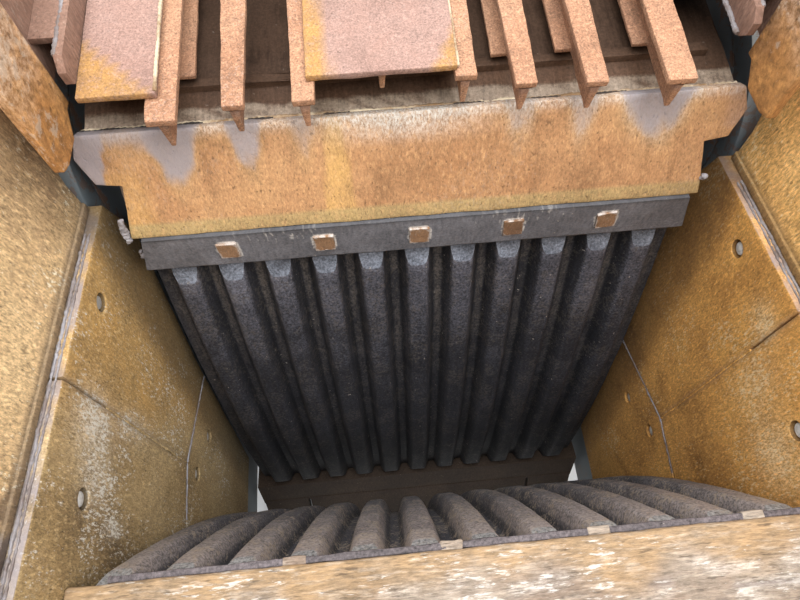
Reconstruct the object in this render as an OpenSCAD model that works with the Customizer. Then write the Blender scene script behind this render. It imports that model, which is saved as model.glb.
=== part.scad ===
// Single-toggle jaw crusher with its feed hopper and the end of its grizzly deck.
// Outlines are drawn in the side plane: first value along the feed, second upwards,
// both counted from the top edge of the fixed die on the machine's centre plane.

/* [Chamber] */
// Clear width between the cheek plates
chamber_w = 1114; // [1000:2:1240]
// Level distance from the fixed die's top edge to the swing die's top
gape = 545; // [500:5:590]
// How far the swing die's top lies under the fixed die's
swing_drop = 65; // [55:1:75]
// Height of the fixed die
die_depth = 1150; // [1100:5:1180]
// How far the fixed die's foot stands into the chamber
die_lean = 210; // [190:2:230]
// Level gap between the feet of the two dies with the jaw open
setting = 96; // [80:2:120]
// Crown of the fixed die's face over its length
fixed_crown = 42; // [20:1:55]
// Crown of the swing die's face over its length
swing_crown = 32; // [15:1:45]

/* [Jaw dies] */
// Distance between the ridges
ridge_pitch = 92; // [80:1:92]
// Height of a ridge over the valley beside it
ridge_h = 38; // [20:1:44]
// Thickness of a die over its ridges at its ends
die_t = 85; // [75:1:95]
// Ridges on the fixed die
fixed_ridges = 12; // [8:2:12]
// Ridges on the swing die
swing_ridges = 11; // [7:2:11]
// Gap between the swing die and a cheek plate
swing_die_gap = 33; // [27:1:42]
// Gap between the fixed die and a cheek plate
die_side_gap = 3; // [2:0.5:4]
// Depth of the slope that dresses the ends of the ridges
end_cut = 16; // [8:1:20]
// Length of that slope along a ridge
end_cut_l = 44; // [30:1:60]

/* [Frame] */
// Height of the fixed die's top edge over the ground
die_z = 1500; // [1490:5:1650]
// Distance of the fixed die's top edge in front of the feet's centre
die_y = 520; // [500:5:540]
// Thickness of the side plates
side_t = 50; // [40:1:60]
// Thickness of the cheek plates
cheek_t = 30; // [20:1:36]
// Gap between neighbouring cheek plates
cheek_gap = 3; // [2:1:8]
// Thickness of the wall behind the fixed die
front_wall_t = 70; // [50:1:80]
// Depth of the ribs in front of that wall at the top
front_rib_d = 170; // [140:5:180]
// Thickness of the frame's ribs
rib_t = 30; // [20:1:36]
// Width of the ribs on the side plates
side_rib_w = 60; // [40:1:64]
// Thickness of the foot plates
foot_t = 40; // [30:1:50]
// Width of a foot plate across the machine
foot_w = 200; // [190:2:220]
// Length of a foot plate along the machine
foot_l = 280; // [260:2:300]
// Distance between the front and rear feet
foot_span = 1080; // [1060:5:1100]
// Distance of the foot bolts from the frame's side plates
foot_bolt_out = 73; // [65:1:90]
// Distance between the two bolts of a foot
foot_bolt_pitch = 160; // [120:2:200]
// Diameter of the foot bolt holes
foot_hole_d = 39; // [26:1:42]

/* [Shaft] */
// Distance of the main bearings from the fixed die's top edge
shaft_y = 870; // [862:1:880]
// Height of the main bearings over the fixed die's top edge
shaft_z = -10; // [-16:1:-4]
// Throw of the eccentric journal
shaft_throw = 14; // [8:1:18]
// Diameter of the eccentric journal
journal_d = 300; // [260:2:320]
// Diameter of the shaft in its bearings
bearing_bore_d = 220; // [200:2:230]
// Diameter of the shaft's ends
shaft_end_d = 190; // [160:2:196]
// Diameter of the bearing housing's spigot
spigot_d = 430; // [400:2:436]
// Diameter of the boss round the housing on the side plate
boss_d = 540; // [520:2:560]
// Diameter of the pitman's barrel
barrel_d = 470; // [440:2:476]
// Diameter of the flywheels
wheel_d = 1200; // [1000:10:1240]
// Width of the flywheels' rims
wheel_w = 200; // [160:5:220]
// Radial thickness of the rims
rim_t = 110; // [80:2:130]
// Thickness of the flywheels' webs
web_t = 44; // [30:1:60]
// Diameter of the holes in the webs
web_hole_d = 170; // [120:2:180]
// Belt grooves in the drive sheave
grooves = 8; // [6:1:8]

/* [Pitman] */
// Gap between the pitman and a side plate
pitman_gap = 52; // [49:1:66]
// Thickness of the pitman's face plate
face_t = 60; // [50:1:70]
// Thickness of the pitman's ribs
pitman_rib_t = 40; // [30:1:50]
// Height of the seat bar under the swing die
toe_bar_h = 122; // [110:2:130]
// Gap between the seat bar and a cheek plate
toe_gap = 9; // [7:1:26]
// How far the skirt under the seat bar hangs down
skirt_h = 126; // [100:2:130]
// How far the skirt's foot leans towards the fixed die
skirt_lean = 58; // [20:2:64]
// Half of the width of the skirt's middle part
skirt_half = 385; // [350:5:420]
// Thickness of the toggle plate
toggle_t = 60; // [40:1:70]
// Width of the toggle plate
toggle_w = 900; // [700:10:960]
// Radius of the toggle plate's round ends
toggle_end_r = 50; // [40:1:54]
// Diameter of the tension rod
tension_d = 44; // [36:1:48]

/* [Guard] */
// Height of the wedge bar's face
wedge_h = 96; // [90:1:100]
// Gap between the wedge bar's ends and the cheek plates
wedge_gap = 44; // [38:1:52]
// Distance between the wedge bolts
wedge_bolt_pitch = 174; // [160:1:190]
// Side of the wedge bolts' square heads
wedge_bolt_s = 45; // [36:1:52]
// Length of the guard plate up its slope
guard_l = 188; // [184:1:190]
// Thickness of the guard plate
guard_t = 20; // [12:1:24]
// Gap between the guard plate's foot and a cheek plate
guard_gap = 54; // [49:1:62]

/* [Hopper] */
// Height of the hopper's sides over the seam
hopper_h = 430; // [300:5:460]
// Outward lean of the hopper's sides
hopper_lean = 6; // [2:0.5:8]
// Thickness of the hopper plates
hopper_t = 20; // [12:1:24]
// How far the hopper's foot stands back from the cheek plates' faces
hopper_back = 20; // [5:1:24]
// Width of the corner guards beside the deck
deflector_w = 100; // [80:1:102]

/* [Grizzly] */
// Distance between the grizzly bars
bar_pitch = 106; // [100:1:110]
// Width of a bar at its free end
bar_tip_w = 32; // [26:1:36]
// Width of the outer bars at their free ends
outer_bar_tip_w = 44; // [32:1:50]
// Width of a bar at its rear end
bar_root_w = 58; // [40:1:64]
// Depth of a bar over the pitman
bar_depth = 60; // [45:1:62]
// Depth of a bar where it rests on the deck's beam
bar_root_depth = 100; // [90:1:110]
// Thickness of a bar's top strip
bar_top_t = 12; // [8:1:16]
// Thickness of a bar's web under the strip
bar_web_t = 16; // [10:1:22]
// Thickness of a bar's web along its lower edge
bar_web_foot_t = 8; // [6:1:9]
// Height of the liners beside the deck
liner_h = 52; // [40:1:70]
// Slope of the deck
deck_slope = 5; // [4.6:0.1:5.6]
// Thickness of the deck's flat plates
deck_plate_t = 12; // [8:1:14]
// Rear end of the deck
deck_end = 1330; // [1300:5:1360]

/* [Hidden] */
$fn = 96;

seat = 0.3;
running = 0.05;
inner_x = chamber_w / 2 + cheek_t;
outer_x = inner_x + side_t;
swing_die_w = chamber_w - 2 * swing_die_gap;
pitman_half = inner_x - pitman_gap;
toe_half = chamber_w / 2 - toe_gap;
wedge_half = chamber_w / 2 - wedge_gap;
guard_half = chamber_w / 2 - guard_gap;

// The four ends of the die faces
fixed_top = [0, 0];
fixed_foot = [die_lean, -die_depth];
swing_top = [gape, -swing_drop];
swing_foot = [die_lean + setting, -die_depth - 2];
shaft_c = [shaft_y, shaft_z];
barrel_c = [shaft_y + shaft_throw, shaft_z];

function unit(v) = v / norm(v);
function left_of(v) = [-v[1], v[0]];
function arc_r(chord, crown) = chord * chord / (8 * crown) + crown / 2;
function heading(p, q) = atan2(q[1] - p[1], q[0] - p[0]);
// Height of the seam between the cheek plates and the hopper
function seam_z(y) = 138 - 0.105 * y;
seam_angle = atan(-0.105);

// Puts outlines of the side plane on the machine
module on_machine() {
  translate([0, -die_y, die_z]) children();
}

// Extrudes an outline of the side plane from x0 to x1
module across(x0, x1) {
  on_machine() translate([x0, 0, 0]) rotate([90, 0, 90]) linear_extrude(x1 - x0) children();
}

// A frame with its first axis from p to q and its third across the machine
module along(p, q) {
  on_machine() rotate([90, 0, 90]) translate([p[0], p[1], 0]) rotate([0, 0, heading(p, q)]) children();
}

module right_or_left(s) {
  mirror([s < 0 ? 1 : 0, 0, 0]) children();
}

module both_sides() {
  children();
  mirror([1, 0, 0]) children();
}

// Radial profile of a ridged die: rounded ridges with narrow flat valleys between
ridge_steps = 20;
ridge_flank = 0.41;
function from_crest(i) = abs(i / ridge_steps - round(i / ridge_steps));
function ridge_fall(i) = ridge_h * pow(sin(90 * min(1, from_crest(i) / ridge_flank)), 8);
function ridge_points(n, r) = [
  for (k = [0 : n * ridge_steps])
    [r - ridge_fall(k + ridge_steps / 2), (k / ridge_steps - n / 2) * ridge_pitch]
];

module die_profile(n, w, r) {
  back = r - die_t - 90;
  polygon(concat(
    [[back, -w / 2], [r - ridge_h, -w / 2]],
    ridge_points(n, r),
    [[r - ridge_h, w / 2], [back, w / 2]]
  ));
}

// A die between two ends, crowned towards the chamber on its left, its ridges sloped at both ends
module ridged_die(p, q, crown, w, n) {
  chord = norm(q - p);
  over = crown + 2;
  run = (over + end_cut) * end_cut_l / (end_cut + 4 * crown * end_cut_l / chord);
  r = arc_r(chord, crown);
  start = atan2(r - crown, chord / 2);
  spare = 1;
  along(p, q) intersection() {
    translate([chord / 2, crown - r, 0]) rotate([0, 0, start - spare])
      rotate_extrude(angle = 180 - 2 * start + 2 * spare, $fn = 720) die_profile(n, w, r);
    translate([0, 0, -w / 2 - 1]) linear_extrude(w + 2) polygon([
      [0, -die_t], [chord, -die_t], [chord, -end_cut], [chord - run, over], [run, over], [0, -end_cut]
    ]);
  }
}

// Side plates with their legs, boss, ear for the grizzly beam and ribs
side_front = -345;
rear_face = 1290;
foot_y = [die_y - foot_span / 2, die_y + foot_span / 2];
leg_z = foot_t - die_z;
arch_z = leg_z + 130;
seam_end = 605;
ear_y = [1150, 1256];
ear_z = 170;

module side_outline() {
  union() {
    polygon([
      [side_front, seam_z(side_front)], [seam_end, seam_z(seam_end)], [seam_end + 60, shaft_z],
      [ear_y[0] - 30, shaft_z], [ear_y[0], ear_z], [ear_y[1], ear_z], [rear_face, -700],
      [rear_face, -1190], [foot_y[1] + 120, leg_z], [foot_y[1] - 120, leg_z],
      [foot_y[1] - 190, arch_z], [foot_y[0] + 190, arch_z], [foot_y[0] + 120, leg_z],
      [foot_y[0] - 120, leg_z], [foot_y[0] - 150, -900]
    ]);
    translate(shaft_c) circle(d = boss_d);
  }
}

module side_ribs() {
  for (z = [-330, -690, -1050])
    translate([side_front, z]) square([rear_face - side_front, rib_t]);
  for (y = [40, 640, 1130])
    translate([y, leg_z]) square([rib_t, 1200]);
}

module side_plate(s) {
  color("slategray") right_or_left(s) difference() {
    union() {
      across(inner_x, outer_x) side_outline();
      across(outer_x, outer_x + side_rib_w) intersection() {
        side_outline();
        side_ribs();
      }
    }
    across(inner_x - 1, outer_x + side_rib_w + 1) translate(shaft_c) circle(d = spigot_d + 2 * running);
    across(outer_x, outer_x + side_rib_w + 1) translate(shaft_c) circle(d = boss_d);
  }
}

// Wall behind the fixed die, with level and upright ribs in front of it
fixed_len = norm(fixed_foot - fixed_top);
fixed_dir = unit(fixed_foot - fixed_top);
wall_back = -die_t - front_wall_t;
foot_rib_d = front_rib_d - 90;
function wall_at(u, v) = u * fixed_dir + v * left_of(fixed_dir);
module front_wall() {
  half = inner_x - seat;
  color("slategray") union() {
    along(fixed_top, fixed_foot) {
      translate([-20, wall_back, -half]) cube([fixed_len + 40, front_wall_t, 2 * half]);
      for (u = [40, 320, 600, 880, fixed_len - rib_t]) {
        d = front_rib_d + (foot_rib_d - front_rib_d) * u / fixed_len;
        translate([u, wall_back - d, -half]) cube([rib_t, d + 1, 2 * half]);
      }
    }
    for (x = [-425 : 170 : 425])
      across(x - rib_t / 2, x + rib_t / 2) polygon([
        wall_at(10, wall_back + 1), wall_at(fixed_len, wall_back + 1),
        wall_at(fixed_len, wall_back - foot_rib_d), wall_at(40, wall_back - front_rib_d),
        [beam_back + 10, beam_foot - seat], [wall_at(10, wall_back)[0], beam_foot - seat]
      ]);
  }
}

// Cap beam over the fixed die's end, bare and flat on top
beam_back = -330;
beam_foot = 4.8;
module front_beam() {
  color("sienna") across(-chamber_w / 2 + 1, chamber_w / 2 - 1)
    polygon([[-8, beam_foot], [-8, 26], [beam_back, 44], [beam_back, beam_foot]]);
}

// Short lips that hold the fixed die's top edge
module die_lips() {
  gap = 8;
  half = chamber_w / 2;
  edges = [57 - half, -232, -6, 210, 440, half - 17];
  color("peru") for (i = [0 : len(edges) - 2])
    across(edges[i], edges[i + 1] - gap) translate([-8, 2]) square([10, 16]);
}

rear_front = 1110;
rear_back = 1280;
rear_foot = -1180;
module rear_beam() {
  web = 60;
  flange = 50;
  front = rear_front;
  back = rear_back;
  top = -860;
  foot = rear_foot;
  color("slategray") union() {
    across(-inner_x, inner_x) {
      translate([front, foot]) square([web, top - foot]);
      translate([front, foot]) square([back - front, flange]);
      translate([front, top - flange]) square([back - front, flange]);
    }
    for (x = [-400, -200, 0, 200, 400])
      across(x - rib_t / 2, x + rib_t / 2) translate([front, foot]) square([back - front, top - foot]);
  }
}

foot_x = inner_x - 10;
foot_bolt_x = outer_x + foot_bolt_out;
module feet() {
  color("slategray") both_sides() for (y = [-foot_span / 2, foot_span / 2]) {
    translate([0, y, 0]) difference() {
      union() {
        translate([foot_x, -foot_l / 2, 0]) cube([foot_w, foot_l, foot_t]);
        translate([outer_x + seat, rib_t / 2, foot_t]) rotate([90, 0, 0]) linear_extrude(rib_t)
          polygon([[0, 0], [foot_bolt_out + 30, 0], [0, 120]]);
      }
      for (b = [-foot_bolt_pitch / 2, foot_bolt_pitch / 2])
        translate([foot_bolt_x, b, -1]) cylinder(d = foot_hole_d, h = foot_t + 2);
    }
  }
}

// Cheek plates: three a side, parted on the lines that the wear side shows
junction = [257, -457];
part_top = 272;
cheek_rear = 640;
cheek_foot = -1060;
function wall_y(z) = -die_t / cos(heading(fixed_top, fixed_foot) + 90) + 6 - die_lean / die_depth * z;
bolt_hole_r = 16;

module cheek(s, bolts) {
  color("darkgoldenrod") right_or_left(s) difference() {
    across(chamber_w / 2, inner_x - seat) children();
    across(chamber_w / 2 - 1, chamber_w / 2 + 12) for (b = bolts) translate(b) circle(r = bolt_hole_r);
  }
}

module cheek_rear_plate(s) {
  g = cheek_gap / 2;
  cheek(s, [[435, 28]]) polygon([
    [part_top + g, seam_z(part_top) - seat], [seam_end, seam_z(seam_end) - seat], [cheek_rear, -60],
    [500, -548 + g], junction + [g, g]
  ]);
}

module cheek_front_plate(s) {
  g = cheek_gap / 2;
  cheek(s, [[115, 0]]) polygon([
    [wall_y(0) - 10, seam_z(-90) - seat], [part_top - g, seam_z(part_top) - seat], junction + [-g, g],
    [132, -476 + g], [wall_y(-500), -500 + g], [wall_y(0), 0]
  ]);
}

module cheek_lower_plate(s) {
  g = cheek_gap / 2;
  cheek(s, [[246, -536], [356, -615]]) polygon([
    [132, -476 - g], junction + [0, -g], [500, -548 - g], [390, cheek_foot],
    [wall_y(cheek_foot), cheek_foot], [wall_y(-500), -500 - g]
  ]);
}

module fixed_jaw_die() {
  color("dimgray")
    ridged_die(fixed_top, fixed_foot, fixed_crown, chamber_w - 2 * die_side_gap, fixed_ridges);
}

// Shaft, bearings and wheels, turned about the main bearings' axis
module on_shaft(c) {
  on_machine() translate([0, c[0], c[1]]) rotate([0, 90, 0]) children();
}

housing_flange = 38;
housing_end = 78;
module bearing_housing(s) {
  color("slategray") right_or_left(s) on_shaft(shaft_c) rotate_extrude() polygon([
    [bearing_bore_d / 2 + running, inner_x], [spigot_d / 2, inner_x], [spigot_d / 2, outer_x + seat],
    [boss_d / 2 - 10, outer_x + seat], [boss_d / 2 - 10, outer_x + housing_flange],
    [spigot_d / 2 - 10, outer_x + housing_flange], [spigot_d / 2 - 30, outer_x + housing_end],
    [bearing_bore_d / 2 + running, outer_x + housing_end]
  ]);
}

wheel_x = outer_x + 112;
shaft_end_x = wheel_x + wheel_w + 30;
module eccentric_shaft() {
  color("silver") union() {
    on_shaft(shaft_c) rotate([180, 0, 0]) translate([0, 0, -shaft_end_x])
      cylinder(d = shaft_end_d, h = 2 * shaft_end_x);
    on_shaft(shaft_c) translate([0, 0, -wheel_x + 8]) cylinder(d = bearing_bore_d, h = 2 * wheel_x - 16);
    on_shaft(barrel_c) translate([0, 0, -pitman_half - 6]) cylinder(d = journal_d, h = 2 * pitman_half + 12);
  }
}

hub_d = 330;
module wheel_holes() {
  ring = (hub_d / 2 + wheel_d / 2 - rim_t) / 2;
  for (a = [0 : 60 : 300])
    rotate([0, 0, a]) translate([ring, 0, wheel_x - 1]) cylinder(d = web_hole_d, h = wheel_w + 2);
}

module wheel_body(rim) {
  mid = wheel_x + wheel_w / 2;
  difference() {
    rotate_extrude($fn = 128) polygon(concat([
      [shaft_end_d / 2 + running, wheel_x], [hub_d / 2, wheel_x], [hub_d / 2 + 8, mid - web_t / 2],
      [wheel_d / 2 - rim_t - 8, mid - web_t / 2], [wheel_d / 2 - rim_t, wheel_x]
    ], rim, [
      [wheel_d / 2 - rim_t, wheel_x + wheel_w], [wheel_d / 2 - rim_t - 8, mid + web_t / 2],
      [hub_d / 2 + 8, mid + web_t / 2], [hub_d / 2, wheel_x + wheel_w],
      [shaft_end_d / 2 + running, wheel_x + wheel_w]
    ]));
    wheel_holes();
  }
}

module flywheel() {
  r = wheel_d / 2;
  color("slategray") right_or_left(-1) on_shaft(shaft_c) wheel_body([[r, wheel_x], [r, wheel_x + wheel_w]]);
}

groove_deep = 18;
function groove_rim(i) = let (
    pitch = (wheel_w - 16) / grooves,
    x = wheel_x + 8 + pitch * i,
    r = wheel_d / 2
  ) [[r, x + 2], [r - groove_deep, x + 6], [r - groove_deep, x + pitch - 6], [r, x + pitch - 2]];

module drive_sheave() {
  r = wheel_d / 2;
  color("slategray") on_shaft(shaft_c) wheel_body(concat(
    [[r, wheel_x]],
    [for (i = [0 : grooves - 1]) each groove_rim(i)],
    [[r, wheel_x + wheel_w]]
  ));
}

// Toggle plate and its two seats
toe_back = 540;
toggle_front = [toe_back + 70, -1190];
toggle_rear = [rear_front - 74, -1050];
module toggle_plate() {
  len_t = norm(toggle_rear - toggle_front);
  color("dimgray") along(toggle_front, toggle_rear) translate([0, 0, -toggle_w / 2]) linear_extrude(toggle_w)
    union() {
      translate([0, -toggle_t / 2]) square([len_t, toggle_t]);
      circle(r = toggle_end_r);
      translate([len_t, 0]) circle(r = toggle_end_r);
    }
}

module rear_toggle_seat() {
  color("gray") across(-toggle_w / 2 - 20, toggle_w / 2 + 20) difference() {
    polygon([
      [rear_front, toggle_rear[1] - 70], [rear_front, toggle_rear[1] + 90],
      [rear_front - 50, toggle_rear[1] + 90], [rear_front - 64, toggle_rear[1] + 50],
      [rear_front - 50, toggle_rear[1] - 60]
    ]);
    translate(toggle_rear) circle(r = toggle_end_r + seat);
  }
}

module front_toggle_seat() {
  color("gray") across(-toggle_w / 2 - 20, toggle_w / 2 + 20) difference() {
    polygon([
      [toe_back, toggle_front[1] + 60], [toe_back + 36, toggle_front[1] + 60],
      [toe_back + 64, toggle_front[1] + 30], [toe_back + 50, toggle_front[1] - 50],
      [toe_back, toggle_front[1] - 64]
    ]);
    translate(toggle_front) circle(r = toggle_end_r + seat);
  }
}

// Tension rod under the toggle plate and the spring housing that it runs into
tension_z = rear_foot - 130;
tension_can = [rear_front + 15, rear_front + 290];
module tension_rod() {
  start = toe_back + 5;
  color("silver") union() {
    across(-30, 30) polygon([
      [toe_back - 100, toe_foot_z - seat], [toe_back - 1, toe_foot_z - seat], [toe_back + 20, tension_z - 15],
      [toe_back - 10, tension_z - 35], [toe_back - 40, tension_z - 20]
    ]);
    on_machine() translate([0, start, tension_z]) rotate([-90, 0, 0])
      cylinder(d = tension_d, h = tension_can[1] - 60 - start);
  }
}

module tension_housing() {
  can_d = 116;
  play = 17;
  color("slategray") difference() {
    union() {
      on_machine() translate([0, tension_can[0], tension_z]) rotate([-90, 0, 0])
        cylinder(d = can_d, h = tension_can[1] - tension_can[0]);
      across(-40, 40) translate([rear_front + 40, tension_z])
        square([rear_back - rear_front - 40, rear_foot - seat - tension_z]);
    }
    on_machine() translate([0, tension_can[0] - 1, tension_z]) rotate([-90, 0, 0])
      cylinder(d = tension_d + 2 * play, h = tension_can[1] - tension_can[0] - 24);
  }
}

// Hopper: leaning side plates on flanges that follow the seam, and a front plate
flange_t = 16;
module on_seam() {
  on_machine() translate([0, 0, seam_z(0) + seat]) rotate([seam_angle, 0, 0]) children();
}

module hopper_side(s) {
  u0 = -325;
  u1 = 600;
  bottom = chamber_w / 2 + hopper_back;
  function rear_u(h) = (deflector_y + deflector_w - 1 + sin(seam_angle) * h) / cos(seam_angle);
  color("goldenrod") right_or_left(s) on_seam() union() {
    translate([bottom, u0, 0]) cube([outer_x - bottom, u1 - u0, flange_t]);
    translate([bottom + 3, 0, 4]) rotate([0, hopper_lean, 0]) {
      rotate([90, 0, 90]) linear_extrude(hopper_t)
        polygon([
          [u0 + 1, 0], [u1 - 1, 0], [u1 - 1, 60], [rear_u(140), 140], [rear_u(hopper_h - 60), hopper_h - 60],
          [u1 - 120, hopper_h], [u0 + 1, hopper_h]
        ]);
      for (u = [-200, 60, 320, 556])
        translate([hopper_t - 5, u, 4]) cube([46, 16, hopper_h - 78]);
      translate([hopper_t - 5, u0 + 4, hopper_h - 82]) cube([50, rear_u(hopper_h) - 8 - u0, 16]);
    }
  }
}

module hopper_front() {
  foot = chamber_w / 2 + 2;
  rise = seam_z(beam_back) + hopper_h - 30;
  grow = (rise - seam_z(beam_back)) * tan(hopper_lean);
  color("goldenrod") on_machine() translate([0, beam_back + 20, 0]) rotate([90, 0, 0])
    linear_extrude(hopper_t) polygon([
      [-foot, 45 - 1], [foot, 45 - 1], [foot, seam_z(beam_back) + 10], [foot + grow, rise],
      [-foot - grow, rise], [-foot, seam_z(beam_back) + 10]
    ]);
}

deflector_y = 531;
deflector_x = chamber_w / 2 - 37;
deflector_foot = 246;
deflector_t = 14;
module deflector(s) {
  top = 560;
  color("chocolate") right_or_left(s) union() {
    across(deflector_x, deflector_x + 16) polygon([
      [deflector_y, deflector_foot + 8], [deflector_y + 20, deflector_foot],
      [deflector_y + deflector_w - 30, deflector_foot], [deflector_y + deflector_w + 5, deflector_foot + 35],
      [deflector_y + deflector_w + 5, top], [deflector_y, top - 60]
    ]);
    across(deflector_x, outer_x) translate([deflector_y + deflector_w, deflector_foot + 30])
      square([deflector_t, top - deflector_foot - 100]);
  }
}

// Grizzly deck over the pitman, its bars tapering towards the chamber
deck_tip = [590, 303];
bar_x0 = 2;
bar_count = 8;
module on_deck() {
  on_machine() translate([0, deck_tip[0], deck_tip[1]]) rotate([deck_slope, 0, 0]) children();
}

// Height of a point w over the deck's surface
function deck_z(y, w) = deck_tip[1] + (y - deck_tip[0]) * tan(deck_slope) + w / cos(deck_slope);
deck_len = (deck_end - deck_tip[0]) / cos(deck_slope);
beam_u = (ear_y[0] + 6 - deck_tip[0]) / cos(deck_slope);
// How far each bar's tip stands behind the deck's edge; the fourth ends under the middle plate
tip_back = [-20, -2, -2, 60, 22, 0, -7, -14];
// How far each bar stands off its even place, as set by hand
bar_shift = [-3, -7, -11, 1, 17, -3, -5, 15];
function is_outer(i) = i == 0 || i == bar_count - 1;
function has_foot(i) = i == 0 || i > bar_count / 2;

module grizzly_bar(back, tip_w) {
  union() {
    translate([0, 0, -bar_top_t]) linear_extrude(bar_top_t) polygon([
      [-tip_w / 2, back], [tip_w / 2, back], [bar_root_w / 2, deck_len], [-bar_root_w / 2, deck_len]
    ]);
    intersection() {
      translate([-bar_web_t, 0, 0]) rotate([90, 0, 90]) linear_extrude(2 * bar_web_t) polygon([
        [back + 2, -4], [back + 2, -bar_depth - 2], [back + 14, -bar_depth], [beam_u - 30, -bar_depth],
        [beam_u - 2, -bar_root_depth], [deck_len, -bar_root_depth], [deck_len, -4]
      ]);
      translate([0, deck_len + 1, 0]) rotate([90, 0, 0]) linear_extrude(deck_len + 40) polygon([
        [-bar_web_t / 2, 0], [bar_web_t / 2, 0], [bar_web_foot_t / 2, -bar_depth],
        [bar_web_foot_t / 2, -bar_root_depth - 1], [-bar_web_foot_t / 2, -bar_root_depth - 1],
        [-bar_web_foot_t / 2, -bar_depth]
      ]);
    }
  }
}

// Flat foot under the rear part of a bar's web
bar_foot_w = 60;
bar_foot_t = 8;
bar_foot_u = 105;
module bar_foot() {
  translate([-bar_foot_w / 2, bar_foot_u, -bar_depth])
    cube([bar_foot_w, beam_u - 40 - bar_foot_u, bar_foot_t]);
}

module grizzly_bars() {
  color("salmon") on_deck() for (i = [0 : bar_count - 1])
    translate([bar_x0 + bar_shift[i] + (i - (bar_count - 1) / 2) * bar_pitch, 0, 0]) union() {
      grizzly_bar(tip_back[i], is_outer(i) ? outer_bar_tip_w : bar_tip_w);
      if (has_foot(i)) bar_foot();
    }
}

module deck_plate(x0, x1, u0) {
  translate([x0, u0, seat]) cube([x1 - x0, deck_len - u0, deck_plate_t]);
}

module deck_plates() {
  color("sandybrown") on_deck() {
    deck_plate(-liner_x + seat, -376, 20);
    deck_plate(-162, 60, 30);
    deck_plate(liner_x - 107, liner_x - seat, 150);
  }
}

module grizzly_beam() {
  front = ear_y[0] + 3;
  back = ear_y[1] - 3;
  color("slategray") across(-outer_x, outer_x) polygon([
    [front, ear_z + seat], [back, ear_z + seat],
    [back, deck_z(back, -bar_root_depth) - seat], [front, deck_z(front, -bar_root_depth) - seat]
  ]);
}

deck_side_x = chamber_w / 2 - 17;
liner_x = deck_side_x - 51;
liner_t = 12;
liner_u = 44;
module grizzly_side(s) {
  color("indianred") right_or_left(s) on_deck()
    translate([deck_side_x, 0, 0]) rotate([90, 0, 90]) linear_extrude(16)
      polygon([
        [66, -20], [beam_u, -20], [beam_u, -bar_root_depth], [deck_len, -bar_root_depth],
        [deck_len, 170], [110, 170], [66, 120]
      ]);
}

module side_liners() {
  color("peru") both_sides() on_deck() union() {
    translate([liner_x, liner_u, seat]) rotate([90, 0, 90]) linear_extrude(liner_t) polygon([
      [0, 14], [14, 0], [deck_len - liner_u, 0], [deck_len - liner_u, liner_h],
      [16, liner_h], [0, liner_h - 16]
    ]);
    translate([liner_x, liner_u + 50, liner_h - 10])
      cube([deck_side_x - seat - liner_x, deck_len - liner_u - 50, 10]);
  }
}

// Swing jaw: pitman casting with barrel, face plate, head, ribs and toe
swing_dir = unit(swing_top - swing_foot);
swing_out = -left_of(swing_dir);
swing_back_top = swing_top + die_t * swing_out;
swing_back_foot = swing_foot + die_t * swing_out;
guard_foot = [533, 64];
guard_dir = unit([89, 166]);
guard_out = left_of(guard_dir);
guard_top = guard_foot + guard_l * guard_dir;
wedge_face = 529;
wedge_foot_z = guard_foot[1] - 3 - wedge_h;
wedge_back = 613;
wedge_top_z = wedge_foot_z + wedge_h;
toe_foot_z = swing_foot[1] - toe_bar_h;

module pitman_head() {
  polygon([
    [wedge_back + seat, wedge_foot_z - 40], [wedge_back + seat, wedge_top_z + 1],
    guard_foot - (guard_t + seat) * guard_out + 8 * guard_dir,
    guard_top - (guard_t + seat) * guard_out - 14 * guard_dir,
    guard_top - (guard_t + seat + 40) * guard_out - 14 * guard_dir,
    [660, 40], [wedge_back + 60, -100]
  ]);
}

module pitman_face() {
  polygon([
    swing_back_top + seat * swing_out, swing_back_top + face_t * swing_out + 60 * swing_dir,
    swing_back_foot + face_t * swing_out, swing_back_foot + seat * swing_out
  ]);
}

module pitman_rib() {
  polygon([
    swing_back_top + 20 * swing_out, barrel_c + [-40, -barrel_d / 2 + 40],
    barrel_c + [barrel_d / 2 - 20, -40],
    [1040, -330], [toe_back + 70, -1080], [toe_back + 38, -1128], [toe_back - 1, -1128],
    swing_back_foot + 20 * swing_out + 20 * swing_dir
  ]);
}

module head_rib() {
  polygon([
    [wedge_back + 20, -60], [wedge_back + 20, wedge_top_z + 6],
    guard_foot - (guard_t + 20) * guard_out + 20 * guard_dir,
    guard_top - (guard_t + 20) * guard_out - 16 * guard_dir, [700, 205], barrel_c + [0, barrel_d / 2 - 3],
    barrel_c
  ]);
}

module pitman_toe() {
  polygon([
    swing_back_foot + seat * swing_out + 60 * swing_dir, swing_back_foot + seat * swing_out,
    [swing_back_foot[0] + 12, toe_foot_z], [toe_back - seat, toe_foot_z], [toe_back - seat, -1110],
    [toe_back + 20, -1060]
  ]);
}

module pitman() {
  color("saddlebrown") difference() {
    union() {
      on_shaft(barrel_c) translate([0, 0, -pitman_half]) cylinder(d = barrel_d, h = 2 * pitman_half);
      across(-pitman_half, pitman_half) {
        pitman_face();
        pitman_toe();
      }
      across(-500, 500) pitman_head();
      for (x = [-480 : 160 : 480])
        across(x - pitman_rib_t / 2, x + pitman_rib_t / 2) {
          pitman_rib();
          head_rib();
        }
    }
    on_shaft(barrel_c) translate([0, 0, -pitman_half - 1])
      cylinder(d = journal_d + 2 * running, h = 2 * pitman_half + 2);
    for (i = [-2 : 2]) on_machine() translate([i * wedge_bolt_pitch, wedge_face, wedge_mid_z])
      rotate([-90, 0, 0]) cylinder(d = wedge_shank_d + 0.6, h = wedge_back - wedge_face + 41);
  }
}

module swing_jaw_die() {
  color("dimgray") ridged_die(swing_foot, swing_top, swing_crown, swing_die_w, swing_ridges);
}

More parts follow.
